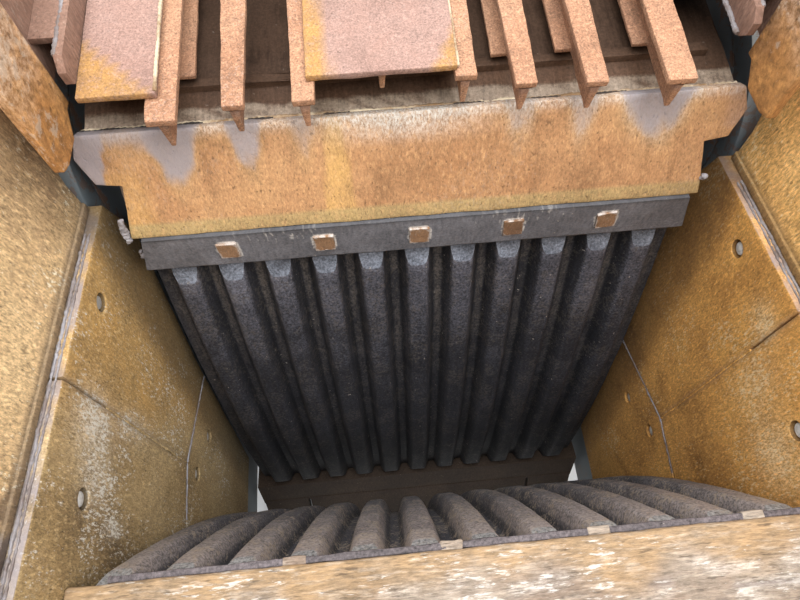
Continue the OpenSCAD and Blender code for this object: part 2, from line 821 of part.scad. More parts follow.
module toe_bar() {
  front = swing_foot[0] - 36;
  color("dimgray") union() {
    across(-toe_half, toe_half) polygon([
      swing_foot - 1 * swing_dir, swing_back_foot - 1 * swing_dir + [-1, 0],
      [swing_back_foot[0] + 11, toe_foot_z], [front, toe_foot_z]
    ]);
    for (x = [[-toe_half + 4, -skirt_half - 8], [-skirt_half, skirt_half], [skirt_half + 8, toe_half - 4]])
      across(x[0], x[1]) polygon([
        [front + 3, toe_foot_z + 20], [front + 40, toe_foot_z + 20],
        [front - skirt_lean + 20, toe_foot_z - skirt_h], [front - skirt_lean, toe_foot_z - skirt_h]
      ]);
  }
}

wedge_mid_z = wedge_foot_z + wedge_h / 2;
wedge_shank_d = 32;
module wedge_bar() {
  top_half = wedge_half - 26;
  lean = die_t * swing_out[1] / swing_out[0];
  color("dimgray") difference() {
    intersection() {
      across(-wedge_half, wedge_half) polygon([
        [wedge_face, wedge_top_z], [wedge_face, wedge_foot_z], swing_top + 1 * swing_dir,
        [wedge_back, swing_top[1] + 1 + lean / die_t * (wedge_back - swing_top[0])], [wedge_back, wedge_top_z]
      ]);
      on_machine() translate([0, wedge_back + 1, 0]) rotate([90, 0, 0]) linear_extrude(100)
        polygon([
          [-wedge_half, wedge_foot_z - 60], [wedge_half, wedge_foot_z - 60], [wedge_half, wedge_foot_z],
          [top_half, wedge_top_z], [-top_half, wedge_top_z], [-wedge_half, wedge_foot_z]
        ]);
    }
    for (i = [-2 : 2]) on_machine() translate([i * wedge_bolt_pitch, wedge_face - 1, wedge_mid_z]) {
      rotate([-90, 0, 0]) cylinder(d = wedge_shank_d + 0.6, h = wedge_back - wedge_face + 2);
      translate([-wedge_bolt_s / 2 - seat, 0, -wedge_bolt_s / 2 - seat])
        cube([wedge_bolt_s + 2 * seat, 21, wedge_bolt_s + 2 * seat]);
    }
  }
}

module wedge_bolts() {
  color("peru") for (i = [-2 : 2]) on_machine() translate([i * wedge_bolt_pitch, wedge_face, wedge_mid_z])
    union() {
      translate([-wedge_bolt_s / 2, -4, -wedge_bolt_s / 2]) cube([wedge_bolt_s, 24 - seat, wedge_bolt_s]);
      rotate([-90, 0, 0]) cylinder(d = wedge_shank_d, h = wedge_back - wedge_face + 38);
    }
}

// Guard plate: stepped ends, sloping up from the wedge bar to the pitman's cover
module guard_plate() {
  step_l = 99;
  color("darkorange") difference() {
    on_machine() translate([0, guard_foot[0], guard_foot[1]])
      rotate([heading([0, 0], guard_dir), 0, 0]) translate([0, 0, -guard_t])
        linear_extrude(guard_t) polygon([
          [-guard_half, 0], [guard_half, 0], [guard_half - 15, step_l], [guard_half + 26, step_l + 5],
          [guard_half + 45, step_l + 51], [guard_half + 32, guard_l], [-guard_half - 32, guard_l],
          [-guard_half - 45, step_l + 51], [-guard_half - 26, step_l + 5], [-guard_half + 15, step_l]
        ]);
    across(-guard_half - 1, guard_half + 1)
      translate([guard_foot[0] - 10, wedge_top_z + seat - guard_t]) square([60, guard_t]);
  }
}

// Curved cover from the guard plate's top over the barrel, with a flat tail behind it
cover_t = 10;
cover_tail = 200;
rail_half = 490;
module pitman_cover() {
  p = guard_top - (guard_t + 7) * guard_out - 10 * guard_dir;
  q = barrel_c + [0, barrel_d / 2 + seat];
  chord = norm(q - p);
  crown = 9;
  r = arc_r(chord, crown);
  start = atan2(r - crown, chord / 2);
  color("saddlebrown") union() {
    along(p, q) translate([chord / 2, crown - r, 0]) rotate([0, 0, start])
      rotate_extrude(angle = 180 - 2 * start, $fn = 720) translate([r, -pitman_half + 10])
        square([cover_t, 2 * pitman_half - 20]);
    across(-rail_half, rail_half) translate([p[0] + 55, p[1] + 14]) square([18, 19]);
    across(-pitman_half + 10, pitman_half - 10) translate([q[0] - 6, q[1]]) square([cover_tail, cover_t]);
  }
}

side_plate(-1);  // side_plate_left
side_plate(1);  // side_plate_right
front_wall();
front_beam();
rear_beam();
feet();
cheek_rear_plate(-1);  // cheek_rear_left
cheek_rear_plate(1);  // cheek_rear_right
cheek_front_plate(-1);  // cheek_front_left
cheek_front_plate(1);  // cheek_front_right
cheek_lower_plate(-1);  // cheek_lower_left
cheek_lower_plate(1);  // cheek_lower_right
fixed_jaw_die();
die_lips();
bearing_housing(-1);  // bearing_housing_left
bearing_housing(1);  // bearing_housing_right
eccentric_shaft();
flywheel();
drive_sheave();
toggle_plate();
rear_toggle_seat();
tension_housing();
hopper_side(-1);  // hopper_left
hopper_side(1);  // hopper_right
hopper_front();
deflector(-1);  // deflector_left
deflector(1);  // deflector_right
grizzly_bars();
deck_plates();
grizzly_beam();
grizzly_side(-1);  // grizzly_side_left
grizzly_side(1);  // grizzly_side_right
side_liners();
pitman();
swing_jaw_die();
toe_bar();
front_toggle_seat();
wedge_bar();
wedge_bolts();
guard_plate();
pitman_cover();
tension_rod();
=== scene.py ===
# %% [markdown]
# # A jaw crusher, seen from above its feed
# The construction is already done: every plate, die and shaft arrives as a
# named mesh in metres, standing where it belongs. Modelling it again would risk
# plates that no longer meet, so this lesson only dresses it. It gives the plates
# worn edges, the dies their polished ridges, the welds their beads, and each
# metal its own finish, with some shade and highlights painted into the colours.
# Blender's random directions start from the clock, so they get a seed here.
# Without it no weld would come out the same twice.

# %% The frame and what it brings
from math import atan2, cos, exp, pi, radians, sin

import bmesh
import bpy
from mathutils import Matrix, Vector, noise


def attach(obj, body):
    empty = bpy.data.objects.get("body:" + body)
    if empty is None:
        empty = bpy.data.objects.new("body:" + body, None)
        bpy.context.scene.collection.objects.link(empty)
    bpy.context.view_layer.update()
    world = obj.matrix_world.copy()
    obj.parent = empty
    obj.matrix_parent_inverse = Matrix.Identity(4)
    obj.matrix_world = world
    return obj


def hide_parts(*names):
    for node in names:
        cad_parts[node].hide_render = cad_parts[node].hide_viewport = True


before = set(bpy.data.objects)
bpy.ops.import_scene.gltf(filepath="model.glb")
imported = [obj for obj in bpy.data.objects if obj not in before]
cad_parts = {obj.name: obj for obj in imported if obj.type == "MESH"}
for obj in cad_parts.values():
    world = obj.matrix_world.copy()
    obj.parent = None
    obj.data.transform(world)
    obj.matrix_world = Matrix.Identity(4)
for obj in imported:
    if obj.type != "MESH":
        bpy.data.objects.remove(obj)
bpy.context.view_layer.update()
NOISE_SEED = 1
noise.seed_set(NOISE_SEED)

# %% [markdown]
# ## The drawing's own axes
# The chamber is drawn in the side plane: y runs along the feed and z upwards,
# both in millimetres from the fixed die's top edge. Places could be typed in
# scene metres, but then no mark could be read off the drawing as it stands. So
# two small functions turn a drawn point into the scene's metres and back.

# %% From drawing to scene
DIE_Y, DIE_Z = 520.0, 1500.0


def at(x, y, z):
    """A point of the drawing as a place in the scene."""
    return Vector((x, y - DIE_Y, z + DIE_Z)) / 1000


def drawn(co):
    """A place in the scene as a point of the drawing."""
    return co.x * 1000, co.y * 1000 + DIE_Y, co.z * 1000 - DIE_Z


print("fixed die's top edge at", tuple(at(0, 0, 0)))

# %% [markdown]
# ## The camera
# The picture was taken from above the feed, steeply down between the jaws. The
# lens is wide, so the walls spread towards the picture's edges. A constraint
# could aim the camera, but it would lose the small roll. So heading, downward
# tilt and roll are turned into the camera's three axes, the columns of its
# matrix.

# %% Camera
HEADING, TILT, ROLL = 0.07866, 1.11701, -0.01472
EYE = (-83.476, -57.588, 950.572)

ahead = Vector((sin(HEADING) * cos(TILT), cos(HEADING) * cos(TILT), -sin(TILT)))
level = Vector((cos(HEADING), -sin(HEADING), 0))
upright = level.cross(ahead)
across = cos(ROLL) * level + sin(ROLL) * upright
upwards = cos(ROLL) * upright - sin(ROLL) * level

lens = bpy.data.cameras.new("camera")
lens.sensor_width = 36.0
lens.lens = 27.0
lens.clip_end = 60.0
camera = bpy.data.objects.new("camera", lens)
bpy.context.collection.objects.link(camera)
turn = Matrix((across, upwards, -ahead)).transposed().to_4x4()
camera.matrix_world = Matrix.Translation(at(*EYE)) @ turn
bpy.context.scene.camera = camera
print("camera looks along", tuple(round(v, 3) for v in ahead))

# %% [markdown]
# ## Daylight
# The machine stands in the open, under a bright sky without a hard sun. A sky
# texture would do, but three broad lamps are easier to balance: one overhead
# sends soft light down between the jaws, one warms it from one side, one lifts
# the rear. The world fills the shadows.

# %% Lamps and world
def lamp(name, place, target, size, watts, colour):
    """A square lamp at one place that looks at another."""
    light = bpy.data.lights.new(name, "AREA")
    light.size = size
    light.energy = watts
    light.color = colour
    holder = bpy.data.objects.new(name, light)
    bpy.context.collection.objects.link(holder)
    look = (Vector(target) - Vector(place)).to_track_quat("-Z", "Y")
    holder.matrix_world = Matrix.Translation(place) @ look.to_matrix().to_4x4()


lamp("sky_lamp", (0.1, -0.7, 5.2), (0.0, 0.0, 1.2), 4.2, 430.0, (0.97, 0.98, 1.0))
lamp("side_lamp", (3.2, -2.8, 4.6), (-0.2, 0.2, 1.4), 2.4, 130.0, (1.0, 0.97, 0.92))
lamp("back_lamp", (-3.2, 3.6, 3.4), (0.0, 0.2, 1.0), 2.8, 120.0, (1.0, 1.0, 1.0))

world = bpy.data.worlds.new("daylight")
bpy.context.scene.world = world
world.use_nodes = True
sky = world.node_tree.nodes["Background"]
sky.inputs["Color"].default_value = (0.92, 0.95, 1.0, 1)
sky.inputs["Strength"].default_value = 0.55
bpy.context.scene.view_settings.view_transform = "Standard"

# %% [markdown]
# ## Sums on shader sockets
# A finish is a sum of masks. Wiring every Math node by hand hides that sum, so
# a small class wraps a socket and lets it be added, multiplied and subtracted
# like a number. Everything that isn't a sum goes through one method that
# places a node, sets it up and plugs in its values.

# %% A value in a finish
class Value:
    """An output socket that can be reckoned with."""

    def __init__(self, finish, socket):
        self.finish = finish
        self.socket = socket

    def reckon(self, kind, first, second, clamp=False):
        settings = {"operation": kind, "use_clamp": clamp}
        return self.finish.node("ShaderNodeMath", settings, {0: first, 1: second})

    def __add__(self, other):
        return self.reckon("ADD", self, other)

    def __sub__(self, other):
        return self.reckon("SUBTRACT", self, other)

    def __rsub__(self, other):
        return self.reckon("SUBTRACT", other, self)

    def __mul__(self, other):
        return self.reckon("MULTIPLY", self, other)

    def clipped(self):
        return self.reckon("ADD", self, 0.0, clamp=True)

    __radd__ = __add__
    __rmul__ = __mul__


print("a socket can be added, multiplied, subtracted and clipped")

# %% [markdown]
# ## A finish
# The finish holds one material. It knows a few patterns: soft noise, a window
# that turns a value into a mask, a ramp, a mixture of two colours, and marks
# that were painted on the mesh. Each could be placed by hand in the editor, but
# a dozen metals share them, so one class places them all. Everything is
# measured on the object itself, so a pattern stays put when a piece moves.

# %% The finish and its patterns
class Finish:
    """One material under construction."""

    def __init__(self, name):
        self.material = bpy.data.materials.new(name)
        self.material.use_nodes = True
        self.tree = self.material.node_tree
        self.shader = self.tree.nodes["Principled BSDF"]

    def node(self, kind, settings, inputs, output=0):
        made = self.tree.nodes.new(kind)
        for key, value in settings.items():
            if key == "stops":
                ramp = made.color_ramp
                while len(ramp.elements) < len(value):
                    ramp.elements.new(0.5)
                for element, (position, colour) in zip(ramp.elements, value):
                    element.position = position
                    element.color = (*colour, 1)
            else:
                setattr(made, key, value)
        for key, value in inputs.items():
            self.plug(made.inputs[key], value)
        return Value(self, made.outputs[output])

    def plug(self, socket, value):
        if isinstance(value, Value):
            self.tree.links.new(value.socket, socket)
        elif socket.type == "RGBA":
            socket.default_value = (*value, 1)
        else:
            socket.default_value = value

    def place(self, stretch=(1, 1, 1)):
        where = self.node("ShaderNodeTexCoord", {}, {}, "Object")
        return self.node("ShaderNodeMapping", {}, {"Vector": where, "Scale": stretch})

    def grain(self, place, scale, detail=6.0, rough=0.6, bend=0.0):
        values = {"Vector": place, "Scale": scale, "Detail": detail, "Roughness": rough, "Distortion": bend}
        return self.node("ShaderNodeTexNoise", {}, values, "Fac")

    def window(self, value, low, high):
        settings = {"interpolation_type": "SMOOTHSTEP"}
        return self.node("ShaderNodeMapRange", settings, {"Value": value, "From Min": low, "From Max": high})

    def ramp(self, value, *stops):
        return self.node("ShaderNodeValToRGB", {"stops": stops}, {"Fac": value})

    def mix(self, mask, first, second):
        return self.node("ShaderNodeMix", {"data_type": "RGBA"}, {0: mask, 6: first, 7: second}, 2)

    def shaded(self, colour, amount):
        settings = {"data_type": "RGBA", "blend_type": "MULTIPLY"}
        return self.node("ShaderNodeMix", settings, {0: 1.0, 6: colour, 7: amount}, 2)

    def painted(self, name):
        return self.node("ShaderNodeAttribute", {"attribute_name": name}, {}, "Fac")

    def facing(self):
        normal = self.node("ShaderNodeTexCoord", {}, {}, "Normal")
        return self.node("ShaderNodeSeparateXYZ", {}, {0: normal}, 2)

    def finished(self, colour, roughness, metallic=0.0, height=None, depth=0.002, strength=0.6):
        self.plug(self.shader.inputs["Base Color"], colour)
        self.plug(self.shader.inputs["Roughness"], roughness)
        self.plug(self.shader.inputs["Metallic"], metallic)
        if height is not None:
            values = {"Strength": strength, "Distance": depth, "Height": height}
            self.plug(self.shader.inputs["Normal"], self.node("ShaderNodeBump", {}, values))
        return self.material


def toned(colour, amount):
    """A colour made darker or brighter by an amount."""
    return tuple(amount * c for c in colour)


print("a colour at half its strength:", toned((0.8, 0.6, 0.4), 0.5))

# %% [markdown]
# ## Rusted plate
# Wear plate rusts within hours of the last load. Stone scours it again in
# short streaks that run the way it falls, so a golden rust carries thousands
# of pale ticks, thick where the feed hits and rare in the corners. A picture
# of rust would repeat itself on plates this large, so it is reckoned from
# noise: clouds first, then patches, ticks, pits and the marks painted later.
# The same recipe with other colours serves for every bare plate.

# %% Rusted plate
def rusted(name, deep, warm, bright, pale, ticks=0.5, run=(1, 1, 0.3), grit=0.75, pits=0.5, mottle=0.5,
           bare=(0.27, 0.245, 0.262), glow=(0.43, 0.255, 0.08), veil=0.45, washed=0.0):
    """Bare plate: rust clouds, mottling, scoured ticks along run, pits, and what is painted on the mesh."""
    f = Finish(name)
    still = f.place()
    along = f.place(run)
    clouds = f.grain(still, 3.2, 5.0, 0.62, 0.3)
    patch = f.grain(still, 13.0, 6.0, 0.7, 0.4)
    fine = f.grain(along, 190.0 / grit, 6.0, 0.75)
    flecks = f.grain(along, 120.0 / grit, 5.0, 0.7, 0.2)
    colour = f.ramp(clouds, (0.32, deep), (0.48, warm), (0.68, bright))
    colour = f.mix(f.window(patch, 0.44, 0.72) * 0.6, colour, deep)
    if washed:
        downward = f.grain(f.place((1, 0.14, 0.14)), 30.0, 5.0, 0.65, 0.3)
        runs = (f.window(downward, 0.46, 0.66) * washed).clipped()
        colour = f.mix(runs, colour, toned(deep, 0.8))
    colour = f.mix((f.painted("glow") * (0.5 + patch)).clipped(), colour, glow)
    colour = f.mix((f.painted("olive") * (0.65 + 0.5 * patch)).clipped(), colour, (0.31, 0.225, 0.095))
    chalk = f.painted("chalk")
    colour = f.mix((chalk * (0.3 + f.window(fine, 0.35, 0.65)) * veil).clipped(), colour, pale)
    glint = f.window(f.grain(along, 85.0 / grit, 4.0, 0.65, 0.3), 0.50, 0.66)
    colour = f.mix((glint * 0.5 * mottle).clipped(), colour, toned(bright, 1.35))
    colour = f.shaded(colour, 1.0 + (fine - 0.5) * 3.4 * mottle + (patch - 0.5) * 1.5 * mottle)
    crowd = f.window(f.grain(still, 5.5, 4.0, 0.6, 0.6), 0.42, 0.68)
    tick = (f.window(flecks + crowd * 0.12 + chalk * 0.15, 0.63, 0.73) * ticks).clipped()
    colour = f.mix(tick, colour, pale)
    pit = (f.window(f.grain(along, 150.0 / grit, 3.0, 0.5), 0.60, 0.74) * pits).clipped()
    colour = f.mix(pit, colour, toned(deep, 0.3))
    polish = f.painted("polish")
    shine = (f.window(polish + (fine - 0.5) * 0.5 + (patch - 0.5) * 0.5, 0.25, 0.95) * 0.85).clipped()
    colour = f.mix(shine, colour, bare)
    # Darkened where the mesh is marked: dirt in joints and streaks, and painted shade in recesses, seams,
    # flanks and under overhangs.
    grime = f.painted("grime")
    colour = f.mix((grime * (0.6 + 0.5 * patch)).clipped(), colour, toned(deep, 0.3))
    rough = 0.80 - 0.25 * tick - 0.30 * shine + 0.1 * patch
    height = fine * 0.7 + flecks * 0.5 + patch * 1.2 - pit * 0.8
    return f.finished(colour, rough.clipped(), (0.35 * shine + 0.2 * tick).clipped(), height, 0.0022, 0.6)


print("rusted plate takes its colours from deep to pale")

# %% [markdown]
# ## The colours of the bare plates
# Each plate has lived another life. The left walls are a dull olive brown and
# the right ones golden; on the cheek plates the right colours are also brighter,
# a painted sunlit side, and the left ones duller, a painted shaded side. The
# guard plate is washed in dark runs, and the deck keeps a pink dust. One shared
# brown would be quicker, but the eye tells these plates apart first, so each
# gets its own deep, warm, bright and pale colour.

# %% Finishes of the bare plates
# The right cheek plates are brighter than the left: partly their own golden rust, partly a painted sunlit
# side against a painted shaded one.
CHEEK_LEFT = rusted("cheek_plate_left", (0.18, 0.120, 0.055), (0.38, 0.265, 0.120), (0.50, 0.37, 0.19),
                    (0.80, 0.77, 0.69), ticks=0.95, run=(1, 1, 0.42), grit=0.55, mottle=0.9)
CHEEK_RIGHT = rusted("cheek_plate_right", (0.25, 0.115, 0.028), (0.60, 0.305, 0.078), (0.74, 0.410, 0.110),
                     (0.90, 0.74, 0.46), ticks=0.65, run=(1, 1, 0.42), grit=0.55, mottle=0.85)
HOPPER_LEFT = rusted("hopper_plate_left", (0.23, 0.150, 0.086), (0.52, 0.360, 0.184), (0.66, 0.475, 0.258),
                     (0.90, 0.83, 0.64), ticks=1.0, run=(1, 0.75, 0.3), grit=0.55, mottle=1.0)
HOPPER_RIGHT = rusted("hopper_plate_right", (0.28, 0.150, 0.050), (0.66, 0.385, 0.125), (0.78, 0.49, 0.19),
                      (0.88, 0.72, 0.44), ticks=0.75, run=(1, 0.75, 0.3), grit=0.55, mottle=0.95)
CORNER = rusted("corner_plate", (0.16, 0.070, 0.020), (0.38, 0.175, 0.050), (0.47, 0.24, 0.075),
                (0.56, 0.46, 0.36), ticks=0.5, run=(1, 0.35, 0.35), mottle=0.8, veil=0.8)
GUARD = rusted("guard_plate", (0.22, 0.105, 0.042), (0.35, 0.182, 0.080), (0.41, 0.235, 0.104),
               (0.42, 0.38, 0.33), ticks=0.10, run=(1, 0.5, 0.5), grit=0.6, pits=0.6, mottle=0.6,
               veil=1.0, washed=0.42)
BAR = rusted("grizzly_bar", (0.22, 0.105, 0.054), (0.315, 0.162, 0.092), (0.37, 0.206, 0.119),
             (0.50, 0.37, 0.29), ticks=0.3, run=(1, 1, 1), grit=0.6, pits=0.6, mottle=0.9)
DECK = rusted("deck_plate", (0.21, 0.120, 0.092), (0.26, 0.155, 0.122), (0.29, 0.185, 0.150),
              (0.38, 0.29, 0.25), ticks=0.25, run=(1, 1, 1), grit=0.6, pits=0.5, mottle=0.7,
              glow=(0.33, 0.175, 0.055))
LINER = rusted("side_liner", (0.125, 0.064, 0.042), (0.21, 0.116, 0.080), (0.265, 0.160, 0.116),
               (0.50, 0.40, 0.32), ticks=0.3)
BEAM = rusted("front_beam", (0.14, 0.094, 0.066), (0.255, 0.200, 0.152), (0.33, 0.280, 0.224),
              (0.62, 0.59, 0.54), ticks=0.8, run=(0.18, 1, 1), pits=0.6, mottle=0.8,
              bare=(0.15, 0.115, 0.105), glow=(0.30, 0.195, 0.098))
print("rusted finishes:", [m.name for m in (CHEEK_LEFT, CHEEK_RIGHT, HOPPER_LEFT, HOPPER_RIGHT, CORNER)],
      [m.name for m in (GUARD, BAR, DECK, LINER, BEAM)])

# %% [markdown]
# ## Manganese steel
# The dies harden under the stone and turn near black, with brown dust in the
# valleys. Their crests are painted lighter and bluer, partly polish and partly
# a painted highlight of the sky, and their steep flanks are painted dark as
# shade. Curvature could find the crests by itself, but it would light every
# small dent too. So the crests and the valleys are painted on the mesh, and
# noise only frays the painted edge.

# %% Manganese steel
def hard_steel(name, dark, dust, crest, metallic=0.4, run=(1, 1, 0.12), nicks=0.6, cast=1.0,
               specks=0.0, gloss=0.5):
    """Die steel: dark body, dusty strips, polished crests with a painted highlight, painted shade and small
    bright nicks.
    """
    f = Finish(name)
    still = f.place()
    along = f.place(run)
    clouds = f.grain(still, 7.0, 6.0, 0.65, 0.3)
    scratch = f.grain(along, 170.0, 6.0, 0.75)
    speck = f.grain(still, 210.0, 4.0, 0.7)
    colour = f.mix(f.window(clouds, 0.35, 0.7), dark, toned(dark, 1.5))
    # Dust in the valleys; on the cover this near black strip is painted shade.
    dusty = f.painted("dust") * f.window(clouds + (scratch - 0.5), 0.25, 0.75)
    colour = f.mix(dusty.clipped(), colour, dust)
    # Crests: real polish, and a painted highlight with the sky's blue in it.
    polish = f.window(f.painted("polish") + (speck - 0.5) * 0.35 + (clouds - 0.5) * 0.5, 0.2, 0.9)
    colour = f.mix(polish, colour, crest)
    colour = f.shaded(colour, 1.0 + (scratch - 0.5) * 1.6 + (speck - 0.5) * 1.6 * cast)
    # Painted shade: flanks, deep parts and shadowed strips are darkened.
    colour = f.mix((f.painted("grime") * 0.9).clipped(), colour, toned(dark, 0.25))
    cluster = f.window(f.grain(still, 16.0, 4.0, 0.6, 0.5), 0.40, 0.62)
    tan = f.window(f.grain(still, 150.0, 5.0, 0.7, 0.3) + 0.10 * cluster, 0.57, 0.65) * specks
    colour = f.mix(tan.clipped(), colour, (0.50, 0.41, 0.31))
    nick = f.window(f.grain(still, 95.0, 3.0, 0.6), 0.70, 0.74) * nicks
    colour = f.mix(nick, colour, (0.50, 0.44, 0.38))
    f.shader.inputs["Specular IOR Level"].default_value = gloss
    rough = (0.60 - 0.16 * polish - 0.1 * nick + 0.15 * clouds).clipped()
    height = scratch * 0.5 + clouds * 0.8 + speck * 0.4 + nick * 0.4
    return f.finished(colour, rough, metallic, height, 0.0018, 0.5)


print("die steel goes from dark through dust to crest")

# %% [markdown]
# ## The colours of the steels
# The swing die is the darkest, in the shade of its own guard. The fixed die
# lies open to the sky and is paler. The ends of both were dressed by a grinder
# and shine blue grey, so they get finishes of their own. So do the wedge bar
# and the brown steel that the stone never reaches.

# %% Finishes of the steels
SWING = hard_steel("swing_die_steel", (0.023, 0.023, 0.028), (0.088, 0.074, 0.064), (0.165, 0.165, 0.198),
                   cast=2.0, nicks=0.8, specks=0.09)
DRESSED = hard_steel("dressed_end", (0.055, 0.060, 0.074), (0.3, 0.3, 0.3), (0.25, 0.28, 0.34), 0.3, cast=1.6)
FIXED = hard_steel("fixed_die_steel", (0.090, 0.087, 0.096), (0.040, 0.042, 0.054), (0.36, 0.315, 0.30), 0.15,
                   (1, 0.9, 0.8), cast=2.2, nicks=1.0, specks=0.7)
FIXED_END = hard_steel("fixed_die_end", (0.185, 0.180, 0.192), (0.3, 0.3, 0.3), (0.3, 0.3, 0.3), 0.15,
                       cast=2.4, nicks=1.0, specks=0.3)
WEDGE = hard_steel("wedge_steel", (0.125, 0.124, 0.136), (0.16, 0.12, 0.09), (0.58, 0.55, 0.52), 0.15,
                   (1, 1, 0.3))
DARK = hard_steel("worn_brown_steel", (0.034, 0.023, 0.016), (0.05, 0.03, 0.02), (0.20, 0.16, 0.13), 0.0,
                  nicks=0.3, gloss=0.15)
LIP = hard_steel("lip_steel", (0.078, 0.066, 0.068), (0.05, 0.03, 0.02), (0.30, 0.26, 0.25), 0.0, (0.3, 1, 1),
                 cast=2.0, gloss=0.3)
# The cover's dust colour is near black: painted behind its front edge, it is painted shade.
COVER = hard_steel("cover_plate", (0.060, 0.034, 0.021), (0.022, 0.012, 0.007), (0.22, 0.170, 0.126), 0.0,
                   (1, 0.15, 0.15), nicks=0.1, cast=0.9, gloss=0.12)
print("steel finishes:", [m.name for m in (SWING, DRESSED, FIXED, FIXED_END, WEDGE, DARK, LIP, COVER)])

# %% [markdown]
# ## Paint
# The frame and the wheels keep their shop paint, a dull blue grey, with dust
# on every upward face, rust that bleeds from the edges, and small chips. The
# dust could be painted on each piece, but the surface's own normal already
# says which way is up, so one mask settles it on the whole machine.

# %% Painted castings and plates
def painted_metal(name, paint, dust=(0.33, 0.29, 0.23), dusty=0.5, chips=0.5):
    """Shop paint with dust, rust runs and chips."""
    f = Finish(name)
    still = f.place()
    runs = f.place((1, 1, 0.12))
    clouds = f.grain(still, 2.5, 6.0, 0.65, 0.3)
    fine = f.grain(still, 70.0, 5.0, 0.65)
    colour = f.mix(f.window(clouds, 0.3, 0.75), toned(paint, 0.72), paint)
    streak = f.window(f.grain(runs, 26.0, 5.0, 0.7) * f.window(clouds, 0.35, 0.7), 0.40, 0.62)
    colour = f.mix(streak * 0.55, colour, (0.20, 0.105, 0.05))
    up = f.window(f.facing(), 0.25, 0.95)
    above = f.node("ShaderNodeSeparateXYZ", {}, {0: still}, 2)
    settled = ((up + 0.5 * (1 - f.window(above, 0.0, 0.75))) * (0.35 + fine) * dusty).clipped()
    colour = f.mix(settled, colour, dust)
    chip = f.window(f.grain(still, 34.0, 6.0, 0.7, 0.5) + f.painted("edge") * 0.20, 0.69, 0.72) * chips
    colour = f.mix(chip.clipped(), colour, (0.16, 0.075, 0.035))
    rough = (0.52 + 0.25 * settled + 0.2 * chip + 0.1 * fine).clipped()
    return f.finished(colour, rough, 0.0, fine * 0.25 + clouds * 0.4 - chip * 0.8, 0.0012, 0.5)


PAINT = painted_metal("frame_paint", (0.135, 0.165, 0.185))
WHEEL = painted_metal("wheel_paint", (0.115, 0.135, 0.150), dusty=0.38, chips=0.7)
PITMAN = painted_metal("pitman_paint", (0.145, 0.105, 0.080), dust=(0.26, 0.2, 0.15), dusty=0.8, chips=0.9)
print("painted finishes:", [m.name for m in (PAINT, WHEEL, PITMAN)])

# %% [markdown]
# ## Small metal
# Shafts, welds, nuts and rubbed bolts are small in the picture, so clouds of
# stain over one base colour are enough for them. The rubbed bolts are also
# painted brighter, a painted highlight, and an opened joint is near black, a
# painted shade in the gap. Only the wedge bolts are seen close to, rusted
# inside a bright rim, and they take the full recipe of the bare plates.

# %% Turned steel, welds and bolts
def bare_steel(name, base, stain, metallic=0.85, dullness=0.3):
    """Bright or greasy bare metal with stains."""
    f = Finish(name)
    still = f.place()
    clouds = f.grain(still, 9.0, 6.0, 0.7, 0.4)
    fine = f.grain(still, 180.0, 4.0, 0.6)
    colour = f.mix(f.window(clouds + fine * 0.2, 0.45, 0.72), base, stain)
    rough = (dullness + 0.35 * clouds + 0.15 * fine).clipped()
    return f.finished(colour, rough, metallic, fine * 0.4 + clouds * 0.5, 0.001, 0.5)


SHAFT = bare_steel("turned_steel", (0.42, 0.41, 0.40), (0.10, 0.07, 0.045))
WELD = bare_steel("weld_bead", (0.29, 0.280, 0.295), (0.16, 0.125, 0.11), 0.2, 0.5)
BOLT = rusted("bolt_rust", (0.16, 0.085, 0.045), (0.25, 0.140, 0.072), (0.30, 0.175, 0.095),
              (0.50, 0.45, 0.40), ticks=0.3, grit=0.4, bare=(0.58, 0.53, 0.49))
# Near black: stands for the shade inside an opened joint.
GAP_SHADE = bare_steel("open_joint_shade", (0.018, 0.015, 0.013), (0.04, 0.028, 0.02), 0.0, 0.8)
CRUST = bare_steel("weld_crust", (0.52, 0.43, 0.30), (0.20, 0.12, 0.06), 0.0, 0.7)
# Rubbed bright metal, and painted brighter still as a highlight.
SILVER = bare_steel("rubbed_bolt_highlight", (0.86, 0.86, 0.84), (0.34, 0.33, 0.31), 0.15, 0.45)
NUT = bare_steel("zinc_nut", (0.30, 0.29, 0.28), (0.15, 0.10, 0.065), 0.5, 0.45)
GREASE = bare_steel("greasy_casting", (0.10, 0.10, 0.10), (0.06, 0.045, 0.03), 0.3, 0.45)
print("small metal:", [m.name for m in (SHAFT, WELD, GAP_SHADE, CRUST, SILVER, BOLT, NUT, GREASE)])

# %% [markdown]
# ## From a plain solid to a worn one
# Plates that are cut and welded have no razor edges and no true faces. A copy
# of the solid's mesh is merged, its flat faces are joined up, and its edges are
# rounded with a bevel. Then planes slice it into cells, which gives vertices to
# dent and to paint wear on. Subdividing would do that too, but it makes long
# thin cells on long plates, while planes a set distance apart keep them even.

# %% Copy, round and slice
X, Y, Z = (1, 0, 0), (0, 1, 0), (0, 0, 1)
DOUBLES = 0.00005
FLAT, TURNED = 0.8, 28.0


def copied(*nodes):
    """The merged mesh of one or more solids, with flat faces in one piece."""
    bm = bmesh.new()
    for node in nodes:
        bm.from_mesh(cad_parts[node].data)
    bmesh.ops.remove_doubles(bm, verts=bm.verts, dist=DOUBLES)
    bmesh.ops.dissolve_limit(bm, angle_limit=radians(FLAT), verts=bm.verts, edges=bm.edges)
    return bm


def rounded(bm, width, segments=2, angle=TURNED):
    """Rounds the edges that turn by more than the angle. Width is in millimetres."""
    edges = [e for e in bm.edges if len(e.link_faces) == 2 and e.calc_face_angle(0) > radians(angle)]
    bmesh.ops.bevel(bm, geom=edges, offset=width / 1000, offset_type="OFFSET", segments=segments,
                    profile=0.5, affect="EDGES", clamp_overlap=True, material=-1)
    return bm


